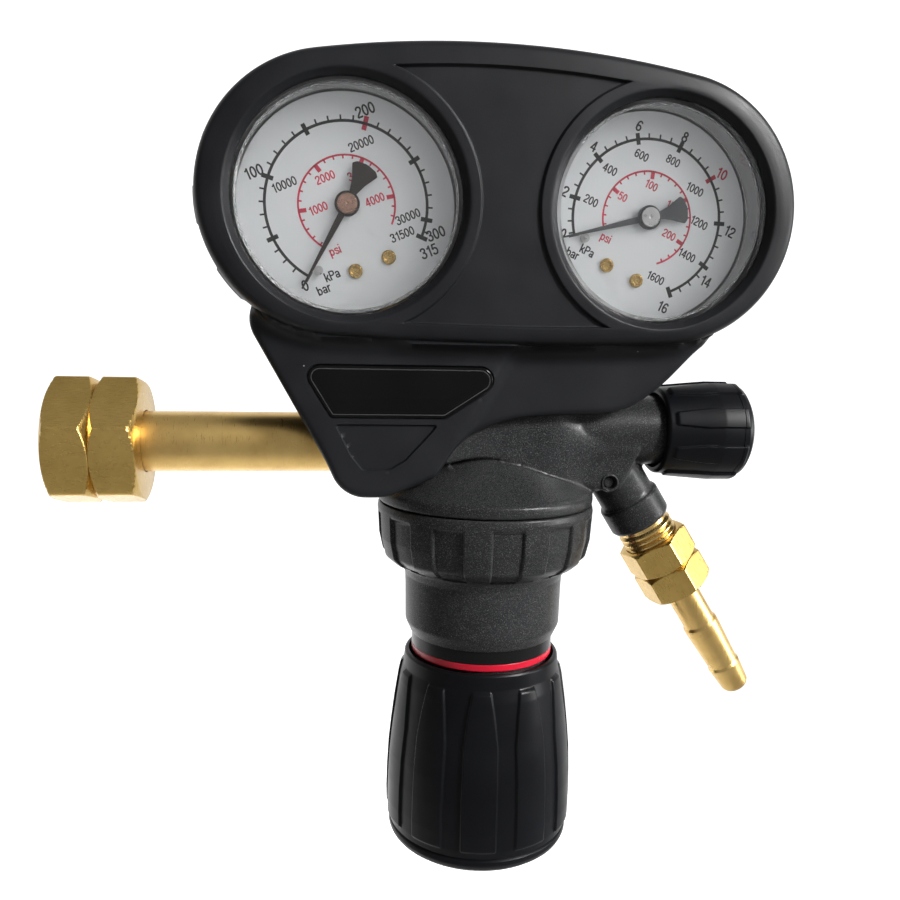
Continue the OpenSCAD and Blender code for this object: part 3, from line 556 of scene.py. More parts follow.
def solid_from_sheet(name, v2, y, faces, wall):
    """a closed solid: the sheet in front, and for each border the rows of points wall() returns, then a cap"""
    verts = [np.stack([v2[:, 0] + AX, y, v2[:, 1]], 1)]
    out = [t for t in faces]
    base = len(v2)
    for loop in borders(faces):
        p = v2[loop]
        rows = wall(p, y[loop])
        n = len(loop)
        last = loop
        for row in rows:
            verts.append(row)
            now = list(range(base, base + n))
            base += n
            out += [(last[j], last[i], now[i], now[j]) for i, j in ((i, (i + 1) % n) for i in range(n))]
            last = now
        out.append(tuple(last))
    verts = np.concatenate(verts)
    used = sorted({i for f in out for i in f})
    new = {o: k for k, o in enumerate(used)}
    return mesh_from(name, verts[used], [tuple(new[i] for i in f) for f in out], merge=0)


def pads(length, total):
    """0 between the raised pads, 1 on them"""
    count = round(total / 20.7)
    period = total / count
    s = (length % period) - period / 2
    return smoothstep((5.2 - np.abs(s)) / 0.7)


def cover_shell():
    loops = [oval(PAD + o) for o in (0.05, 0.18, 0.4, 0.7, 1.1, 1.6, 2.3, 3.4, 4.6)]
    for e in (-0.25, 0.0, 0.12, 0.28, 0.43, 0.55, 0.8):
        loops.append(inner_loop(e))
    holes = []
    for cx in (-GX, GX):
        holes.append(circle(cx, GZ, LIP_R, 0.9))
        for r in (PANEL_R + 0.7, PANEL_R + 0.55, PANEL_R + 0.43, PANEL_R + 0.28, PANEL_R + 0.12, PANEL_R,
                  PANEL_R - 0.25, WIN_R + 1.2, WIN_R + 0.5, WIN_R + 0.25, WIN_R, WIN_R - 0.5, LIP_R + 0.5):
            loops.append(circle(cx, GZ, r, 0.9))
    v, f = triangulate(oval(PAD), holes, loops)
    y = front_height(v)

    def wall(p, ys):
        n = len(p)
        centre = p.mean(0)
        if np.hypot(*(p - centre).T).max() < 33:
            return [np.stack([p[:, 0] + AX, np.full(n, -22.0), p[:, 1]], 1)]
        step = np.linalg.norm(np.roll(p, -1, 0) - p, axis=1)
        run = np.concatenate([[0], np.cumsum(step)[:-1]])
        total = step.sum()
        start = run[np.argmin(np.hypot(p[:, 0] - 1.3, p[:, 1] - 104.2))]
        on = pads(run - start + 0.5 * total / round(total / 20.7), total)
        t = np.roll(p, -1, 0) - np.roll(p, 1, 0)
        t /= np.linalg.norm(t, axis=1)[:, None]
        out = np.stack([t[:, 1], -t[:, 0]], 1)
        if ((p + out - p.mean(0)) ** 2).sum() < ((p - out - p.mean(0)) ** 2).sum():
            out = -out
        rows = []
        for level, pad, inset in ((-19.9, 0, 0), (-19.2, 0.55, 0), (-18.6, 1, 0), (-12, 1, 0), (-4, 1, 0), (2.6, 1, 0),
                                  (3.3, 0, 0), (8.4, 0, 0), (9.8, 0, 0.35), (10.8, 0, 1.1), (11.4, 0, 2.4)):
            q = p + out * (PAD * pad * on - inset)[:, None]
            rows.append(np.stack([q[:, 0] + AX, np.full(n, level), q[:, 1]], 1))
        return rows

    return solid_from_sheet("cover_shell", v, y, f, wall)


def smooth_loop(points, rounds=3):
    p = np.array(points, float)
    for _ in range(rounds):
        q = np.roll(p, -1, 0)
        p = np.stack([p * 0.75 + q * 0.25, p * 0.25 + q * 0.75], 1).reshape(-1, 2)
    return p


APRON = ([(-60, 45), (-68, 34.6), (-62, 23.9), (-56, 13.2), (-50, 2.6), (-46.4, -3.8)]
         + [(-35.9 + 9.9 * math.cos(math.radians(a)), -3.3 + 9.9 * math.sin(math.radians(a))) for a in range(205, 266, 12)]
         + [(-30.5, -13.1), (-26, -11.4), (-22, -9.8), (-18.6, -8.2), (-17.6, -8.0), (-16.4, -6.6), (-13.8, -2.6), (-10.8, 1.2),
            (-6.6, 4.3), (-2, 6.4), (3, 7.9), (9, 8.8), (17.5, 9.4), (28, 9.7), (32.5, 10.2), (36.5, 11.3), (40, 13),
            (44, 15.8), (48, 19.2), (51.5, 22.8), (55.5, 27), (60, 31), (60, 44), (0, 45)])
APRON_BACK = -12.6


def plate_loop(g):
    def a(cx, cz, r, a0, a1, n):
        t = np.radians(np.linspace(a0, a1, n + 1))
        return np.stack([cx + (r + g) * np.cos(t), cz + (r + g) * np.sin(t)], 1)
    return np.concatenate([a(-48.4, 19.2, 3.1, 90, 205, 14), a(-44.9, 9.6, 1.0, 208, 270, 6),
                           a(-15.6, 10.4, 1.8, 270, 312, 6), a(-5.9, 18.8, 3.6, 314, 450, 16)])


def resample(loop, step):
    p = np.vstack([loop, loop[:1]])
    seg = np.linalg.norm(np.diff(p, axis=0), axis=1)
    s = np.concatenate([[0], np.cumsum(seg)])
    n = int(s[-1] / step)
    q = np.linspace(0, s[-1], n, endpoint=False)
    return np.stack([np.interp(q, s, p[:, 0]), np.interp(q, s, p[:, 1])], 1)


SMALL = resample(np.array(fillet([(-44.6, 6.9), (-16.6, 6.9), (-20.6, 2.4), (-25.6, -3.0), (-29.8, -5.5), (-37.0, -5.7), (-40.3, -1.7)],
                                 [0.7, 0.7, 1.5, 2, 2.2, 2, 2])), 0.5)


def apron_height(pts, edge, inside):
    x, z = pts[:, 0], pts[:, 1]
    a, b = np.array([-18.2, -8.0]), np.array([-1.5, 22.0])
    t = (b - a) / np.linalg.norm(b - a)
    side = (x - a[0]) * t[1] - (z - a[1]) * t[0]
    y = -18.6 + 2.1 * smoothstep((side - 0.2) / 3.2)
    d, inn = distance(pts, OUTER)
    below = np.where(inn, -d, d)
    s = np.clip(1 - below / 4.2, 0, 1)
    rise = 4.0 * (1 - np.sqrt(np.maximum(0, 1 - s ** 2)))
    y = y - rise * smoothstep((x + 70) / 10)
    for loop, depth in ((plate_loop(0.35), 0.85), (SMALL, 0.8)):
        dl, il = distance(pts, loop)
        y = y + depth * smoothstep(np.where(il, dl, -dl) / 0.35 + 0.02)
    e = np.clip(1 - np.where(inside, edge, 0) / 1.9, 0, 1)
    return y + 1.9 * (1 - np.sqrt(np.maximum(0, 1 - e ** 2)))


def offset_loop(loop, d):
    t = np.roll(loop, -1, 0) - np.roll(loop, 1, 0)
    t /= np.maximum(np.linalg.norm(t, axis=1), 1e-9)[:, None]
    return loop + np.stack([-t[:, 1], t[:, 0]], 1) * d


def apron():
    line = resample(smooth_loop(APRON, 3), 0.7)
    loops = [offset_loop(line, d) for d in (0.07, 0.28, 0.6, 1.0, 1.45, 1.95)]
    for g in (-0.05, 0.1, 0.25, 0.4):
        loops.append(resample(plate_loop(g), 0.6))
    for d in (0.0, 0.12, 0.24, 0.38):
        loops.append(offset_loop(SMALL, -d))
    g = np.array([(x, z) for x in np.arange(-66, 62, 1.3) for z in np.arange(-12, 34, 1.3)])
    dg, ig = distance(g, line)
    v, f = triangulate(line, [], loops, g[ig & (dg > 2.3)].tolist())
    edge, inside = distance(v, line)
    inside |= edge < 1e-4
    y = apron_height(v, edge, inside)

    def wall(p, ys):
        return [np.stack([p[:, 0] + AX, np.full(len(p), APRON_BACK), p[:, 1]], 1)]

    return solid_from_sheet("apron", v, y, f, wall)


def prism(points, y0, y1):
    """a polygon in X and Z, extruded along Y"""
    n = len(points)
    p = np.array(points, float)
    v = np.concatenate([np.stack([p[:, 0] + AX, np.full(n, y), p[:, 1]], 1) for y in (y0, y1)])
    faces = [(i, (i + 1) % n, n + (i + 1) % n, n + i) for i in range(n)]
    faces += [tuple(range(n)), tuple(range(n, 2 * n))]
    return mesh_from("prism", v, faces)


def make_cover():
    m = boolean(cover_shell(), apron(), "UNION")
    for cx in (-GX, GX):
        m = boolean(m, prism(circle(cx, GZ, 31.7, 0.8), -22.75, 8.75), "DIFFERENCE")
    m = boolean(m, prism([(-14, 42), (14, 42), (14, 92), (-14, 92)], FRONT + 5, 8.75), "DIFFERENCE")
    m = boolean(m, prism([(-39, 44), (-34, 6), (34, 6), (39, 44)], -12.2, BACK + 1), "DIFFERENCE")
    return piece("cover", m, "regulator", rubber, ("gauge_cover",), angle=50)


make_cover()


def strip(loop_out, loop_in, y0, y1):
    """a thin closed frame between two loops, in X and Z"""
    n = len(loop_out)
    rows = [(loop_out, y0), (loop_out, y1), (loop_in, y1), (loop_in, y0)]
    v = np.concatenate([np.stack([q[:, 0] + AX, np.full(n, y), q[:, 1]], 1) for q, y in rows])
    f = []
    for k in range(4):
        k2 = (k + 1) % 4
        f += [(k * n + i, k * n + (i + 1) % n, k2 * n + (i + 1) % n, k2 * n + i) for i in range(n)]
    return mesh_from("strip", v, f)


def make_plate():
    line = resample(plate_loop(0.0), 0.5)
    v, f = triangulate(line, [], [offset_loop(line, d) for d in (0.08, 0.22, 0.4)])
    d, _ = distance(v, line)
    y = -18.72 + 0.35 * (1 - np.sqrt(np.maximum(0, 1 - np.clip(1 - d / 0.4, 0, 1) ** 2)))
    m = solid_from_sheet("label_plate_body", v, y, f, lambda q, ys: [np.stack([q[:, 0] + AX, np.full(len(q), -17.9), q[:, 1]], 1)])
    piece("label_plate_gloss", m, "regulator", gloss_black, ("label_plate",))
    # a strip of painted highlight round the plate, where the groove's edge would catch light
    edge = strip(offset_loop(line, 0.75), offset_loop(line, 1.02), -18.75, -18.70)
    piece("label_plate_painted_highlight", edge, "regulator", painted_groove_highlight)


make_plate()


# turned pieces

def rows_between(points, step):
    """a profile with long stretches cut into steps"""
    out = []
    for a, b in zip(points[:-1], points[1:]):
        a, b = np.array(a, float), np.array(b, float)
        n = max(1, int(np.ceil(np.linalg.norm(b - a) / step)))
        out += [tuple(a + (b - a) * k / n) for k in range(n)]
    return out + [tuple(points[-1])]


def open_fillet(points, radii, seg=4):
    """rounds the inner corners of an open line"""
    full = fillet(points, [0] + list(radii) + [0], seg)
    return full


def make_bonnet():
    skin = open_fillet([(27.8, -17.05), (31.35, -17.05), (31.6, -18.6), (31.1, -27.0), (29.9, -32.2), (27.4, -34.4), (24.3, -35.7),
                        (23.25, -38.6), (23.1, -42), (22.9, -52.6), (21.3, -56.1), (20.0, -56.1), (20.0, -92.0)],
                       [0.5, 1.2, 3, 2.5, 1.2, 2.4, 2.0, 2, 2.6, 0.25, 0])
    skin = rows_between(skin[:-1], 0.5) + [skin[-1]]
    inner = [(17.0, -92.0), (17.0, -30.0), (17.2, -30.0), (17.2, -29.0), (27.8, -29.0)]
    prof = skin + inner
    outer = len(skin)

    def radial(a, r, z):
        half = math.radians(30)
        u = (a - math.radians(1 - 90) + half / 2) % half - half / 2
        t = np.abs(31 * np.sin(u))
        side = smoothstep((4.45 - t) / 0.4)
        top = smoothstep((-19.9 - z) / 0.5)
        low = smoothstep((z + 35.9) / 0.6)
        cut = 0.95 * side * top * low
        cut[outer:] = 0
        return r - cut

    v, f = lathe(prof, ring(720), radial)
    piece("bonnet_turned", mesh_from("bonnet_turned", along_z(v), f), "regulator", paint, ("bonnet",), 50)


make_bonnet()

KNOB = [(21.75, -62.2), (22.5, -62.2), (22.9, -62.8), (23.3, -66.5), (24.1, -70), (25.2, -77.5), (26.1, -85), (26.8, -92),
        (27.15, -99.5), (27.3, -107), (27.15, -112), (26.9, -114.1)]
KNOB_RIB = ([-66.9, -67.5, -74, -82, -96, -111.5, -112.3], [2.5, 2.8, 3.9, 4.9, 5.05, 5.05, 4.9])


def make_knob():
    skin = open_fillet(KNOB, [0.3, 0.5, 3, 3, 3, 3, 3, 3, 3, 2], 3)
    skin = rows_between(skin, 0.45)
    prof = skin + [(24.5, -114.1), (24.5, -104.0), (5.06, -104.0), (5.06, -98.0), (21.6, -98.0)]
    outer = len(skin)

    def radial(a, r, z):
        period = 2 * math.pi / 11
        u = (a - math.radians(-90 - 9.7) + period / 2) % period - period / 2
        t = np.abs(r * np.sin(u))
        w = np.interp(-z, [-q for q in KNOB_RIB[0]], KNOB_RIB[1])
        side = smoothstep((w - t) / 0.5 + 0.25)
        ends = smoothstep((-66.7 - z) / 0.9) * smoothstep((z + 112.3) / 0.8)
        h = (0.82 - 0.12 * (t / np.maximum(w, 1)) ** 2) * side * ends
        fine = 0.0
        h[outer:] = 0
        return r + h + fine

    v, f = lathe(prof, ring(880), radial)
    piece("knob_moulded", mesh_from("knob_moulded", along_z(v), f), "adjusting_knob", plastic, ("adjusting_knob",), 60)
    cap = open_fillet([(9.0, -114.45), (26.4, -114.45), (27.0, -115.0), (27.1, -116.2), (26.5, -117.6), (24.9, -118.9), (22.3, -120),
                       (18.9, -120.95), (14.8, -121.65), (10.6, -122.1), (6.5, -122.4), (0.02, -122.5)],
                      [0.3, 0.4, 1, 2, 2, 2, 3, 3, 3, 3], 3)
    v, f = lathe(cap + [(0.02, -120.0), (9.0, -119.0)], ring(144))
    piece("knob_cap_moulded", mesh_from("knob_cap_moulded", along_z(v), f), "adjusting_knob", plastic, ("knob_cap",), 50)


make_knob()


SK_IN, SK_SEAM, SK_OUT, SK_R = 50.8, 73.6, 78.8, 14.2


def small_rib(a, r, z, outer, zs, ws, z1):
    """height of the small knob's ribs; the last part of the profile keeps its shape"""
    period = math.pi / 4
    u = (a - math.radians(24.8 - 90) + period / 2) % period - period / 2
    t = np.abs(r * np.sin(u))
    side = smoothstep((np.interp(z, zs, ws) - t) / 0.42 + 0.2)
    h = 0.7 * side * smoothstep((z - SK_IN - 2.1) / 0.7) * smoothstep((z1 - z) / 0.7)
    h[outer:] = 0
    return h


def make_small_knob():
    zs = [SK_IN + 2.2, SK_IN + 3, SK_IN + 12, SK_SEAM + 2]
    ws = [1.5, 2.0, 2.95, 2.95]
    skin = open_fillet([(11.3, SK_IN), (12.2, SK_IN), (12.9, SK_IN + 0.7), (13.7, 61.5), (SK_R, 67.5), (SK_R, SK_SEAM - 0.2)],
                       [0.3, 0.6, 3, 3], 3)
    skin = rows_between(skin, 0.35)
    prof = skin + [(9.6, SK_SEAM - 0.2), (9.6, 71.5), (3.1, 71.5), (3.1, 62.0), (11.2, 62.0)]
    v, f = lathe(prof, ring(720), lambda a, r, z: r + small_rib(a, r, z, len(skin), zs, ws, SK_SEAM + 9))
    piece("small_knob_moulded", mesh_from("small_knob_moulded", along_x(v), f), "outlet_valve", plastic,
          ("outlet_knob",), 50)
    edge = open_fillet([(SK_R, SK_SEAM), (SK_R, SK_SEAM + 1.5), (SK_R - 0.5, SK_SEAM + 2.7), (SK_R - 2, SK_SEAM + 3.8),
                        (SK_R - 5.5, SK_OUT - 0.5), (0.02, SK_OUT)], [0.6, 0.9, 1.5, 2.5], 4)
    edge = rows_between(edge, 0.35)
    cap = edge + [(0.02, SK_SEAM - 1.8), (9.4, SK_SEAM - 1.8), (9.4, SK_SEAM)]
    v, f = lathe(cap, ring(720), lambda a, r, z: r + small_rib(a, r, z, len(edge), zs, ws, SK_SEAM + 1.7))
    piece("small_cap_moulded", mesh_from("small_cap_moulded", along_x(v), f), "outlet_valve", plastic,
          ("outlet_knob_cap",), 50)


make_small_knob()


def hexagon(af, turn, z0, z1, bore, place, soft, n=432):
    """a hexagon nut with chamfered ends and a V groove round its corners; bore is its inner line"""
    corner = af / math.sqrt(3)
    c = (corner - af / 2) * 0.62
    mid = (z0 + z1) / 2
    deep = corner - af / 2 + 0.15
    zs = np.concatenate([z0 + np.array([0, 0.12, 0.3, 0.5]), np.arange(z0 + 0.8, mid - deep, 0.45),
                         mid + deep * np.linspace(-1, 1, 25), np.arange(mid + deep + 0.3, z1 - 0.7, 0.45),
                         z1 - np.array([0.5, 0.3, 0.12, 0])])
    env = np.minimum(af / 2 - 0.25 + (zs - z0) * (corner + 0.3 - af / 2) / c, af / 2 - 0.25 + (z1 - zs) * (corner + 0.3 - af / 2) / c)
    groove = corner - deep + np.abs(zs - mid) / 0.7
    edge = np.minimum(1.0, np.minimum(zs - z0, z1 - zs) / 0.3)
    skin = [(1.0, z) for z in zs]
    prof = skin + bore
    m = len(skin)

    def radial(a, r, z):
        u = (a - math.radians(turn) + math.pi / 6) % (math.pi / 3) - math.pi / 6
        flat = af / 2 / np.cos(np.abs(u) - math.pi / 6)
        lim = softmin(env, groove, 0.25)[:, None]
        out = r.copy()
        out[:m] = softmin(softmin(flat[:m], np.full_like(flat[:m], corner - soft * 0.6), soft), lim, 0.22)
        out[:m] -= (0.25 * (1 - np.sqrt(np.maximum(0, 1 - (1 - edge) ** 2))))[:, None]
        return out

    v, f = lathe(prof, ring(n), radial)
    return mesh_from("nut", place(v), f)


def inlet_place(v):
    return np.stack([v[:, 2], v[:, 1], -v[:, 0]], 1)


m = hexagon(32, 73.5, -1.6, 21.9, [(8.62, 21.9), (8.62, 16.9), (10.95, 16.9), (10.95, 10.1), (9.97, 10.1), (9.97, 0.0), (11.6, -1.6)],
            inlet_place, 0.28)
piece("inlet_nut_turned", m, "inlet_nut", brass_flat, ("inlet_nut",), 26)
m = hexagon(19, 22, 34.6, 53.2, [(5.18, 53.2), (5.18, 48.0), (8.4, 48.0), (8.4, 34.6)], at_outlet, 0.2, 360)
piece("outlet_nut_turned", m, "outlet_nut", brass_flat, ("outlet_nut",), 26)


def make_barb():
    line = open_fillet([(2.6, 43.4 - 3.6), (3.4, 39.8), (5.8, 43.8), (8.0, 44.2), (8.0, 47.6), (5.0, 47.9), (5.0, 66.5), (5.5, 67.3),
                        (5.5, 69.3), (4.75, 82.6), (5.1, 83.5), (5.0, 84.3), (4.3, 91.2), (3.7, 92.1), (3.4, 92.3), (2.62, 92.3)],
                       [0.2, 0.5, 0.3, 0.3, 0.4, 0.3, 0.35, 0.5, 0.3, 0.3, 0.5, 0.5, 0.3, 0.2], 4)
    v, f = lathe(rows_between(line, 1.6), ring(120))
    piece("barb_turned", mesh_from("barb_turned", at_outlet(v), f), "hose_tail", brass_x, ("hose_barb",), 40)


make_barb()


def make_stem():
    line = open_fillet([(3.0, 32.4), (4.5, 32.4), (4.5, 11.8), (7.9, 11.8), (7.9, 10.8), (8.9, 10.8), (9.5, 11.4), (9.5, 16.0), (8.9, 16.6),
                        (8.35, 16.6), (8.35, 97.35), (3.0, 97.35)], [0.1, 0.1, 0.1, 0.1, 0.2, 0.2, 0.2, 0.2, 0.2, 0.05, 0.2], 3)
    v, f = lathe(rows_between(line, 3.0), ring(144))
    piece("stem_turned", mesh_from("stem_turned", inlet_place(v), f), "regulator", brass_x, ("inlet_stem",), 40)


make_stem()


# body

CREST = [(-14, -4.7), (-11.4, -4.2), (-7.9, -3.3), (-3.2, -3.0), (1.5, -3.25), (8.8, -4.8), (16.1, -7.4), (22.3, -9.6), (28.6, -12.4),
         (32, -13.6), (38, -11), (42, -6), (43.5, -1), (42, 4), (36, 7.4), (29, 9.2), (20, 10), (-14, 10)]


def arm_front():
    """the forged front of the arm, flat over the flare and falling back to the round arm"""
    line = resample(np.array(CREST, float), 0.9)
    g = np.array([(x, z) for x in np.arange(-13, 49, 1.5) for z in np.arange(-13, 10, 1.5)])
    dg, ig = distance(g, line)
    v, f = triangulate(line, [], [], g[ig & (dg > 0.8)].tolist())
    far = np.minimum(0.3 - np.sqrt(10.3 ** 2 - np.clip(v[:, 1], -6, 9.8) ** 2), -3.2)
    far = far + 0.6 * smoothstep((-v[:, 1] - 5) / 4)
    y = -12.4 + (far + 12.4) * smoothstep((v[:, 0] - 14) / 22)
    return solid_from_sheet("arm_front", v, y, f, lambda q, ys: [np.stack([q[:, 0] + AX, np.full(len(q), -3.0), q[:, 1]], 1)])


def skinned(mesh, voxel, rounds, keep):
    work = link(bpy.data.objects.new("work_body", mesh))
    rm = work.modifiers.new("skin", "REMESH")
    rm.mode = "VOXEL"
    rm.voxel_size = voxel
    if rounds:
        sm = work.modifiers.new("soft", "SMOOTH")
        sm.factor = 0.5
        sm.iterations = rounds
    if keep < 1:
        de = work.modifiers.new("fewer", "DECIMATE")
        de.ratio = keep
    return applied(work)


def make_body():
    m = skinned(nodes["body"].data.copy(), 0.00045, 0, 1)
    v, f = lathe([(0.02, -15), (30.4, -15), (30.4, -13.0), (10.8, -3.5), (0.02, -3.5)], ring(180))
    m = boolean(m, mesh_from("cone", along_z(v), f), "UNION")
    v, f = lathe([(33, -13.1), (33, 9.6), (10.8, 9.6), (10.8, -3.5), (30.6, -13.1)], ring(180))
    front = prism([(-12.4, -20), (15, -20), (15, 20), (-12.4, 20)], -40, -7.0)
    m = boolean(m, boolean(mesh_from("flare", along_z(v), f), front, "INTERSECT"), "DIFFERENCE")
    m = boolean(m, arm_front(), "UNION")
    m = skinned(m, 0.00045, 5, 0.5)
    collar = open_fillet([(7.6, 19.6), (8.9, 19.6), (9.3, 20.4), (9.3, 27.2), (8.8, 28.1), (7.6, 28.5)], [0.4, 0.5, 0.6, 0.4], 4)
    v, f = lathe(collar, ring(96))
    m = boolean(m, mesh_from("collar", at_outlet(v), f), "UNION")
    rim = open_fillet([(1.95, -7.6), (1.95, -9.5), (2.2, -9.8), (2.5, -9.7), (2.85, -9.0), (2.85, -7.6)], [0.1, 0.1, 0.15, 0.2], 3)
    v, f = lathe(rim, ring(48))
    v = np.stack([v[:, 0] + AX + 34.9, v[:, 2], -v[:, 1] - 10.6], 1)
    m = boolean(m, mesh_from("rim", v, f), "UNION")
    print("body triangles", sum(len(p.vertices) - 2 for p in m.polygons))
    piece("body_forged", m, "regulator", paint, ("body",), 40)


make_body()


# dials

def ink(name, side, parts, material):
    """flat figures on a dial; each part is (points in the dial's plane, faces)"""
    verts, faces, base = [], [], 0
    for pts, fc in parts:
        verts.append(pts)
        faces += [tuple(base + i for i in q) for q in fc]
        base += len(pts)
    v = at_gauge(np.concatenate(verts), side)
    mesh = bpy.data.meshes.new(name)
    mesh.from_pydata((v * MM).tolist(), [], faces)
    bm = bmesh.new()
    bm.from_mesh(mesh)
    bmesh.ops.recalc_face_normals(bm, faces=bm.faces)
    bm.to_mesh(mesh)
    bm.free()
    piece(name, mesh, "regulator", material)


INK0, INK1 = -0.004, -0.03


def polar(r, a):
    t = math.radians(a)
    return r * math.sin(t), r * math.cos(t)


def quad_prism(corners):
    v = np.array([(x, y, z) for y in (INK0, INK1) for x, z in corners], float)
    n = len(corners)
    f = [tuple(range(n)), tuple(range(2 * n - 1, n - 1, -1))] + [(i, (i + 1) % n, n + (i + 1) % n, n + i) for i in range(n)]
    return v, f


def tick(a, r0, r1, w):
    t = math.radians(a)
    d, s_ = np.array([math.sin(t), math.cos(t)]), np.array([math.cos(t), -math.sin(t)])
    return quad_prism([tuple(d * r + s_ * q) for r, q in ((r0, -w / 2), (r1, -w / 2), (r1, w / 2), (r0, w / 2))])


def scale_arc(r, w, a0, a1):
    n = int(abs(a1 - a0) / 2)
    out = []
    for k, rr in enumerate((r - w / 2, r + w / 2)):
        for q in (INK0, INK1):
            for a in np.linspace(a0, a1, n + 1):
                x, z = polar(rr, a)
                out.append((x, q, z))
    m = n + 1
    f = []
    for i in range(n):
        for a, b in ((0, 1), (1, 3), (3, 2), (2, 0)):
            f.append((a * m + i, a * m + i + 1, b * m + i + 1, b * m + i))
    f += [(0, m, 3 * m, 2 * m), (n, 2 * m + n, 3 * m + n, m + n)]
    return np.array(out, float), f


def curve(points, per=4):
    """a smooth line through the points"""
    p = np.array([2 * np.array(points[0]) - points[1]] + list(points) + [2 * np.array(points[-1]) - points[-2]], float)
    out = []
    for i in range(1, len(p) - 2):
        for k in range(per):
            t = k / per
            out.append(0.5 * (2 * p[i] + (p[i + 1] - p[i - 1]) * t + (2 * p[i - 1] - 5 * p[i] + 4 * p[i + 1] - p[i + 2]) * t ** 2
                              + (3 * p[i] - p[i - 1] - 3 * p[i + 1] + p[i + 2]) * t ** 3))
    out.append(p[-2])
    return np.array(out)


def loop_at(cx, cy, rx, ry, n=16):
    t = np.linspace(0, 2 * math.pi, n, endpoint=False)
    return np.stack([cx + rx * np.cos(t), cy + ry * np.sin(t)], 1)


# strokes of each figure on a field one unit high: L straight, C smooth, O closed oval
GLYPHS = {
    "0": (0.58, [("O", (0.29, 0.5, 0.20, 0.425))]),
    "1": (0.50, [("L", [(0.33, 0.0), (0.33, 1.0)]), ("C", [(0.09, 0.745), (0.21, 0.785), (0.29, 0.86), (0.33, 0.95)])]),
    "2": (0.58, [("C", [(0.09, 0.69), (0.13, 0.86), (0.29, 0.925), (0.45, 0.86), (0.485, 0.70), (0.40, 0.52), (0.22, 0.33), (0.10, 0.16),
                        (0.085, 0.075)]), ("L", [(0.05, 0.075), (0.52, 0.075)])]),
    "3": (0.58, [("C", [(0.09, 0.73), (0.14, 0.88), (0.28, 0.925), (0.42, 0.87), (0.46, 0.73), (0.38, 0.58), (0.23, 0.545)]),
                 ("C", [(0.23, 0.545), (0.41, 0.50), (0.49, 0.32), (0.43, 0.13), (0.28, 0.075), (0.13, 0.13), (0.075, 0.28)])]),
    "4": (0.58, [("L", [(0.385, 0.0), (0.385, 1.0)]), ("L", [(0.36, 0.93), (0.075, 0.30), (0.54, 0.30)])]),
    "5": (0.58, [("L", [(0.49, 0.925), (0.16, 0.925), (0.105, 0.50)]),
                 ("C", [(0.105, 0.50), (0.20, 0.60), (0.33, 0.61), (0.46, 0.50), (0.49, 0.31), (0.42, 0.13), (0.27, 0.075), (0.13, 0.12),
                        (0.08, 0.24)])]),
    "6": (0.58, [("O", (0.295, 0.31, 0.195, 0.235)), ("C", [(0.10, 0.31), (0.095, 0.56), (0.16, 0.81), (0.30, 0.925), (0.43, 0.87),
                                                            (0.475, 0.76)])]),
    "8": (0.58, [("O", (0.29, 0.735, 0.165, 0.19)), ("O", (0.29, 0.30, 0.205, 0.225))]),
    "b": (0.58, [("L", [(0.10, 0.0), (0.10, 1.0)]), ("O", (0.295, 0.36, 0.19, 0.285))]),
    "a": (0.56, [("C", [(0.09, 0.52), (0.16, 0.64), (0.28, 0.66), (0.41, 0.60), (0.435, 0.47), (0.435, 0.12), (0.48, 0.03)]),
                 ("O", (0.25, 0.22, 0.165, 0.145))]),
    "r": (0.38, [("L", [(0.10, 0.0), (0.10, 0.72)]), ("C", [(0.10, 0.42), (0.15, 0.58), (0.25, 0.645), (0.36, 0.64)])]),
    "k": (0.54, [("L", [(0.10, 0.0), (0.10, 1.0)]), ("L", [(0.12, 0.27), (0.46, 0.70)]), ("L", [(0.24, 0.42), (0.49, 0.0)])]),
    "P": (0.62, [("L", [(0.10, 0.0), (0.10, 1.0)]), ("C", [(0.10, 0.925), (0.34, 0.925), (0.49, 0.86), (0.53, 0.70), (0.48, 0.55), (0.33, 0.485),
                                                            (0.10, 0.485)])]),
    "p": (0.58, [("L", [(0.10, -0.27), (0.10, 0.72)]), ("O", (0.295, 0.36, 0.19, 0.285))]),
    "s": (0.52, [("C", [(0.45, 0.50), (0.39, 0.62), (0.26, 0.655), (0.13, 0.61), (0.11, 0.49), (0.25, 0.38), (0.41, 0.31), (0.45, 0.19),
                        (0.37, 0.09), (0.25, 0.065), (0.12, 0.11), (0.07, 0.22)])]),
    "i": (0.24, [("L", [(0.11, 0.0), (0.11, 0.72)]), ("L", [(0.11, 0.86), (0.11, 1.0)])]),
}


def stroke(line, w, closed, top):
    """a line of width w as a thin solid on the dial"""
    p = np.array(line, float)
    nxt, prv = np.roll(p, -1, 0), np.roll(p, 1, 0)
    if not closed:
        nxt[-1], prv[0] = 2 * p[-1] - p[-2], 2 * p[0] - p[1]
    a = (nxt - p) / np.linalg.norm(nxt - p, axis=1)[:, None]
    b = (p - prv) / np.linalg.norm(p - prv, axis=1)[:, None]
    na, nb = np.stack([-a[:, 1], a[:, 0]], 1), np.stack([-b[:, 1], b[:, 0]], 1)
    m = na + nb
    m /= np.linalg.norm(m, axis=1)[:, None]
    m *= (w / 2 / np.maximum((m * na).sum(1), 0.55))[:, None]
    n = len(p)
    rows = [(p + m, INK0), (p + m, top), (p - m, top), (p - m, INK0)]
    v = np.concatenate([np.stack([q[:, 0], np.full(n, y), q[:, 1]], 1) for q, y in rows])
    f = []
    for i in range(n if closed else n - 1):
        j = (i + 1) % n
        f += [(k * n + i, k * n + j, (k + 1) % 4 * n + j, (k + 1) % 4 * n + i) for k in range(4)]
    if not closed:
        f += [(0, n, 2 * n, 3 * n), (n - 1, 4 * n - 1, 3 * n - 1, 2 * n - 1)]
    return v, f


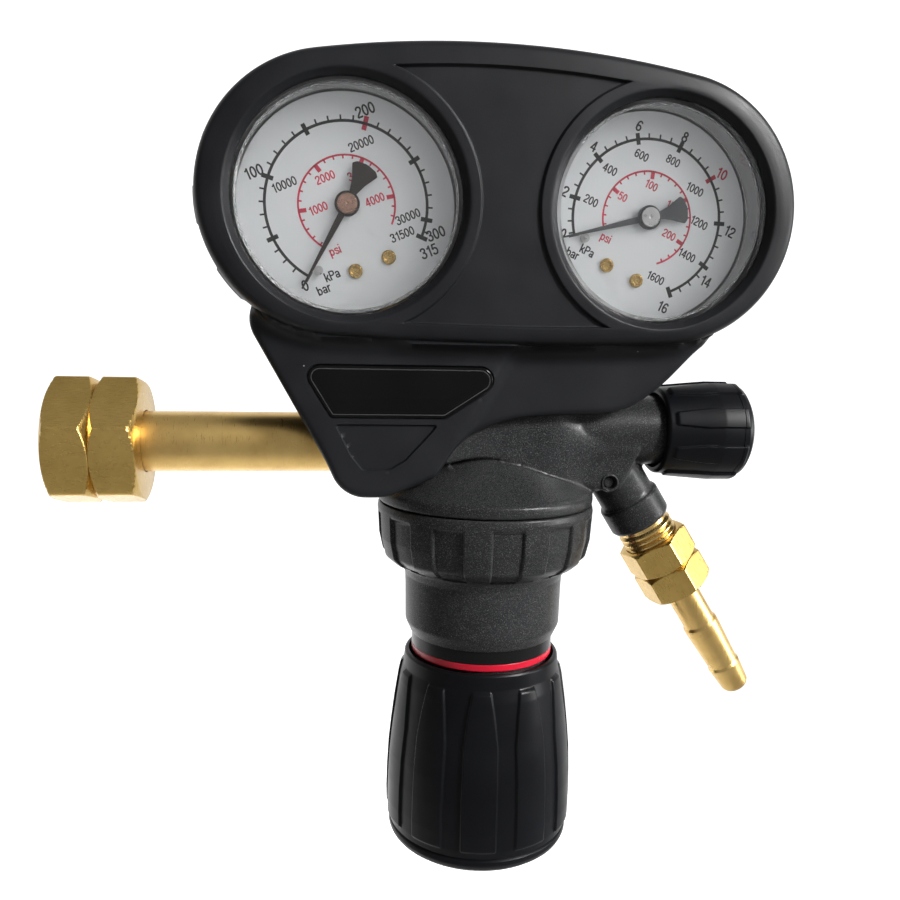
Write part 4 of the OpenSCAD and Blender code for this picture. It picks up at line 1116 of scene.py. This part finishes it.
def figure(text, r, a, height, bold=0.15, wide=1.0):
    """upright figures centred at a polar place on the dial, as a list of parts"""
    cx, cz = polar(r, a)
    lines, x0 = [], 0.0
    for c in text:
        adv, strokes = GLYPHS[c]
        for kind, data in strokes:
            pts = loop_at(*data) if kind == "O" else curve(data) if kind == "C" else np.array(data, float)
            lines.append((pts + np.array([x0, 0.0]), kind == "O"))
        x0 += adv
    both = np.concatenate([q for q, _ in lines])
    mid = (both.max(0) + both.min(0)) / 2
    return [stroke(((q - mid) * np.array([wide, 1.0])) * height + np.array([cx, cz]), bold * height, closed, INK1 - 0.0006 * k)
            for k, (q, closed) in enumerate(lines)]


def dial_left():
    black, red = [], []
    pos = lambda v: -135 + 270 * v / 315
    black.append(scale_arc(21.28, 0.75, -128.4, 135))
    for v in range(20, 315, 10):
        if v % 50:
            black.append(tick(pos(v), 21.3, 22.75, 0.45))
    for v in (50, 100, 150, 250, 300, 315):
        black.append(tick(pos(v), 19.85, 22.95, 1.15))
    black.append(tick(-128.4, 19.9, 22.9, 0.8))
    red.append(tick(pos(200), 19.6, 23.2, 1.25))
    for t, r, a in (("0", 23.9, -129), ("100", 25.0, -49.3), ("200", 24.6, 34.5), ("300", 24.6, 129.3), ("315", 24.7, 141)):
        black.extend(figure(t, r, a, 3.0))
    for t, r, a in (("10000", 16.8, -50.9), ("20000", 16.1, 36.7), ("30000", 16.3, 122.4), ("31500", 16.3, 139.6)):
        black.extend(figure(t, r, a, 2.4))
    black.extend(figure("bar", 22.8, -141.1, 2.5))
    black.extend(figure("kPa", 18.7, -144.4, 2.5))
    red.extend(figure("psi", 12.5, -142.2, 2.4))
    red.append(scale_arc(12.7, 0.5, -126.5, 135))
    rp = lambda v: -135 + 270 * v / 4569
    for v in range(200, 4569, 200):
        if v % 1000:
            red.append(tick(rp(v), 11.75, 12.7, 0.42))
    for v in (1000, 2000, 3000, 4000):
        red.append(tick(rp(v), 10.7, 12.95, 1.1))
    for t, v, r in (("1000", 1000, 7.6), ("2000", 2000, 8.8), ("3000", 3000, 8.4), ("4000", 4000, 7.5)):
        red.extend(figure(t, r, rp(v), 2.3))
    ink("left_ink", -1, black, ink_black)
    ink("left_ink_red", -1, red, ink_red)


def dial_right():
    black, red = [], []
    pos = lambda v: -135 + 270 * v / 16
    black.append(scale_arc(21.28, 0.75, -128.4, 135))
    for k in range(1, 32):
        v = k * 0.5
        if v % 2:
            black.append(tick(pos(v), 21.3, 22.75, 0.45))
    for v in range(2, 17, 2):
        (red if v == 10 else black).append(tick(pos(v), 19.85, 22.95, 1.15))
    black.append(tick(-128.4, 19.9, 22.9, 0.8))
    for t, r, a in (("0", 24.4, -126), ("2", 24.4, -99.3), ("4", 24.4, -65), ("6", 24.8, -32), ("8", 24.4, 0), ("12", 24.9, 72),
                    ("14", 24.9, 108), ("16", 24.9, 142)):
        black.extend(figure(t, r, a, 3.0))
    red.extend(figure("10", 25.0, 34.5, 3.0))
    for t, r, a in (("200", 16.8, -100), ("400", 16.9, -65.7), ("600", 17.0, -32), ("800", 17.2, -0.7), ("1000", 16.0, 34),
                    ("1200", 15.4, 68), ("1400", 15.6, 103.8), ("1600", 16.5, 144)):
        black.extend(figure(t, r, a, 2.4))
    black.extend(figure("bar", 23.2, -140.5, 2.5))
    black.extend(figure("kPa", 19.2, -143.5, 2.5))
    red.extend(figure("psi", 13.1, -141, 2.4))
    red.append(scale_arc(12.7, 0.5, -128.4, 140))
    rp = lambda v: -135 + 270 * v / 232
    for v in range(10, 232, 10):
        if v % 50:
            red.append(tick(rp(v), 11.75, 12.7, 0.42))
    for t, v, r in (("50", 50, 9.1), ("100", 100, 9.0), ("150", 150, 8.2), ("200", 200, 7.9)):
        red.append(tick(rp(v), 10.7, 12.95, 1.1))
        red.extend(figure(t, r, rp(v), 2.3))
    ink("right_ink", 1, black, ink_black)
    ink("right_ink_red", 1, red, ink_red)


dial_left()
dial_right()


def make_pointer(s_, side, blade_mat, hub_mat):
    line = [(-0.2, 25.1), (0.2, 25.1), (0.95, 1.0), (1.05, -3.4), (1.9, -6.2), (3.7, -9.8), (2.7, -10.8), (0, -11.3), (-2.7, -10.8),
            (-3.7, -9.8), (-1.9, -6.2), (-1.05, -3.4), (-0.95, 1.0)]
    line = fillet(line, [0.1, 0.1, 2, 2, 6, 0.4, 1.5, 3, 1.5, 0.4, 6, 2, 2], 4)
    n = len(line)
    c = np.array(line)
    inner = c * 0.985
    rows = [(c, -1.6), (c, -2.1), (inner, -2.2)]
    v = np.concatenate([np.stack([q[:, 0], np.full(n, y), q[:, 1]], 1) for q, y in rows])
    f = [tuple(range(n)), tuple(range(2 * n, 3 * n))]
    for k in (0, 1):
        f += [(k * n + i, k * n + (i + 1) % n, (k + 1) * n + (i + 1) % n, (k + 1) * n + i) for i in range(n)]
    v = rot_y(v, -128.4)
    piece(s_ + "_needle", mesh_from("needle", at_gauge(v, side), f), s_ + "_pointer", blade_mat, (s_ + "_pointer",), 30)
    disc = open_fillet([(2.2, -1.5), (3.3, -1.5), (3.3, -2.3), (2.2, -2.3)], [0.1, 0.15], 3)
    w, g = lathe(disc, ring(72))
    w = np.stack([w[:, 0], w[:, 2], -w[:, 1]], 1)
    piece(s_ + "_disc", mesh_from("disc", at_gauge(w, side), g), s_ + "_pointer", blade_mat, (), 40)
    hub = open_fillet([(0.9, 14.0), (0.9, -1.5), (2.1, -1.6), (2.65, -2.3), (2.65, -2.95), (2.5, -3.1), (0.5, -3.05), (0.36, -2.9), (0.02, -2.8)],
                      [0.05, 0.1, 0.05, 0.1, 0.08, 0.05, 0.05], 3)
    w, g = lathe(hub + [(0.02, 14.0)], ring(72))
    w = np.stack([w[:, 0], w[:, 2], -w[:, 1]], 1)
    piece(s_ + "_hub", mesh_from("hub", at_gauge(w, side), g), s_ + "_pointer", hub_mat, (), 40)


make_pointer("left", -1, needle_left, copper_hub)
make_pointer("right", 1, needle_right, silver_hub)

def make_screws():
    line = open_fillet([(0.8, 0.5), (0.8, -0.05), (1.9, -0.05), (1.9, -0.75), (1.6, -1.0), (1.15, -1.0), (1.0, -0.5), (0.02, -0.5)],
                       [0.02, 0.08, 0.15, 0.15, 0.1, 0.06], 3)
    verts, faces, base = [], [], 0
    for side in (-1, 1):
        for x in (-4.8, 4.8):
            v, f = lathe(line + [(0.02, 0.5)], ring(48))
            v = np.stack([v[:, 0] + x, v[:, 2], -v[:, 1] - 16.6], 1)
            verts.append(at_gauge(v, side))
            faces += [tuple(base + i for i in q) for q in f]
            base += len(v)
    piece("screw_heads", mesh_from("screw_heads", np.concatenate(verts), faces), "regulator", brass_small, ("dial_screws",), 40)


make_screws()

for name, m in (("label_band", band_black), ("colour_ring", red_gloss), ("body_pin", paint), ("inlet_seal", seal),
                ("inlet_filter", bronze), ("relief_valve", brass_small), ("outlet_nipple", brass_small),
                ("stop_pins", steel), ("valve_seat", seal), ("outlet_disc", seal), ("poppet", steel), ("poppet_spring", steel),
                ("adjusting_spring", steel), ("spring_button", steel), ("adjusting_screw", steel), ("knob_nut", steel),
                ("slip_ring", steel), ("outlet_spindle", steel), ("diaphragm", soft_black), ("spindle_seal", soft_black),
                ("valve_cartridge", inner_brass), ("diaphragm_plate", inner_brass), ("diaphragm_stud", inner_brass),
                ("screw_insert", inner_brass), ("gland_nut", inner_brass)):
    nodes[name].material_slots[0].material = m
for s_ in ("left", "right"):
    for part, m in (("case", case_finish), ("socket", inner_brass), ("bourdon", inner_brass), ("movement", inner_brass),
                    ("sector", inner_brass), ("dial", dial_white), ("window", window_clear)):
        nodes[s_ + "_" + part].material_slots[0].material = m

# stage

def make_floor():
    line = [(-2600.0, -330.0), (1400.0, -330.0)]
    line += [(1400 + 900 * math.sin(t), -330 + 900 * (1 - math.cos(t))) for t in np.linspace(0.05, math.pi / 2, 24)]
    line += [(2300.0, 3200.0)]
    v = np.array([(x, y, z) for x in (-4000.0, 4200.0) for y, z in line])
    n = len(line)
    mesh = mesh_from("floor", v, [(i, n + i, n + i + 1, i + 1) for i in range(n - 1)], normals=False)
    m, n_, l_, b_ = new_material("floor_finish", grey(0.86), rough=0.9, specular=0.1)
    b_.inputs["Emission Color"].default_value = (1, 1, 1, 1)
    xyz = n_.new("ShaderNodeSeparateXYZ")
    l_.new(coords(n_, l_), xyz.inputs[0])
    l_.new(maprange(n_, l_, xyz.outputs[1], 0.12, 0.25, 0.0, 0.7), b_.inputs["Emission Strength"])
    mesh.materials.append(m)
    for q in mesh.polygons:
        q.use_smooth = True
    link(bpy.data.objects.new("floor", mesh))


make_floor()


def area(name, place, target, size, power, spread, color=(1, 1, 1)):
    d = bpy.data.lights.new(name, "AREA")
    d.shape = "RECTANGLE"
    d.size, d.size_y = size
    d.energy = power
    d.color = color
    d.spread = math.radians(spread)
    o = link(bpy.data.objects.new(name, d))
    o.location = place
    o.rotation_euler = (Vector(target) - Vector(place)).to_track_quat("-Z", "Y").to_euler()
    return o


centre = (0.11, 0.0, 0.0)
area("key", (0.95, -0.75, 0.62), centre, (0.5, 0.5), 2.6, 22)
area("side", (1.2, -0.35, 0.10), centre, (0.7, 0.9), 1.6, 30)

world = bpy.data.worlds.new("world")
bpy.context.scene.world = world
world.use_nodes = True
world.node_tree.nodes["Background"].inputs["Color"].default_value = (1, 1, 1, 1)
world.node_tree.nodes["Background"].inputs["Strength"].default_value = 0.42

bpy.context.scene.view_settings.view_transform = "Standard"
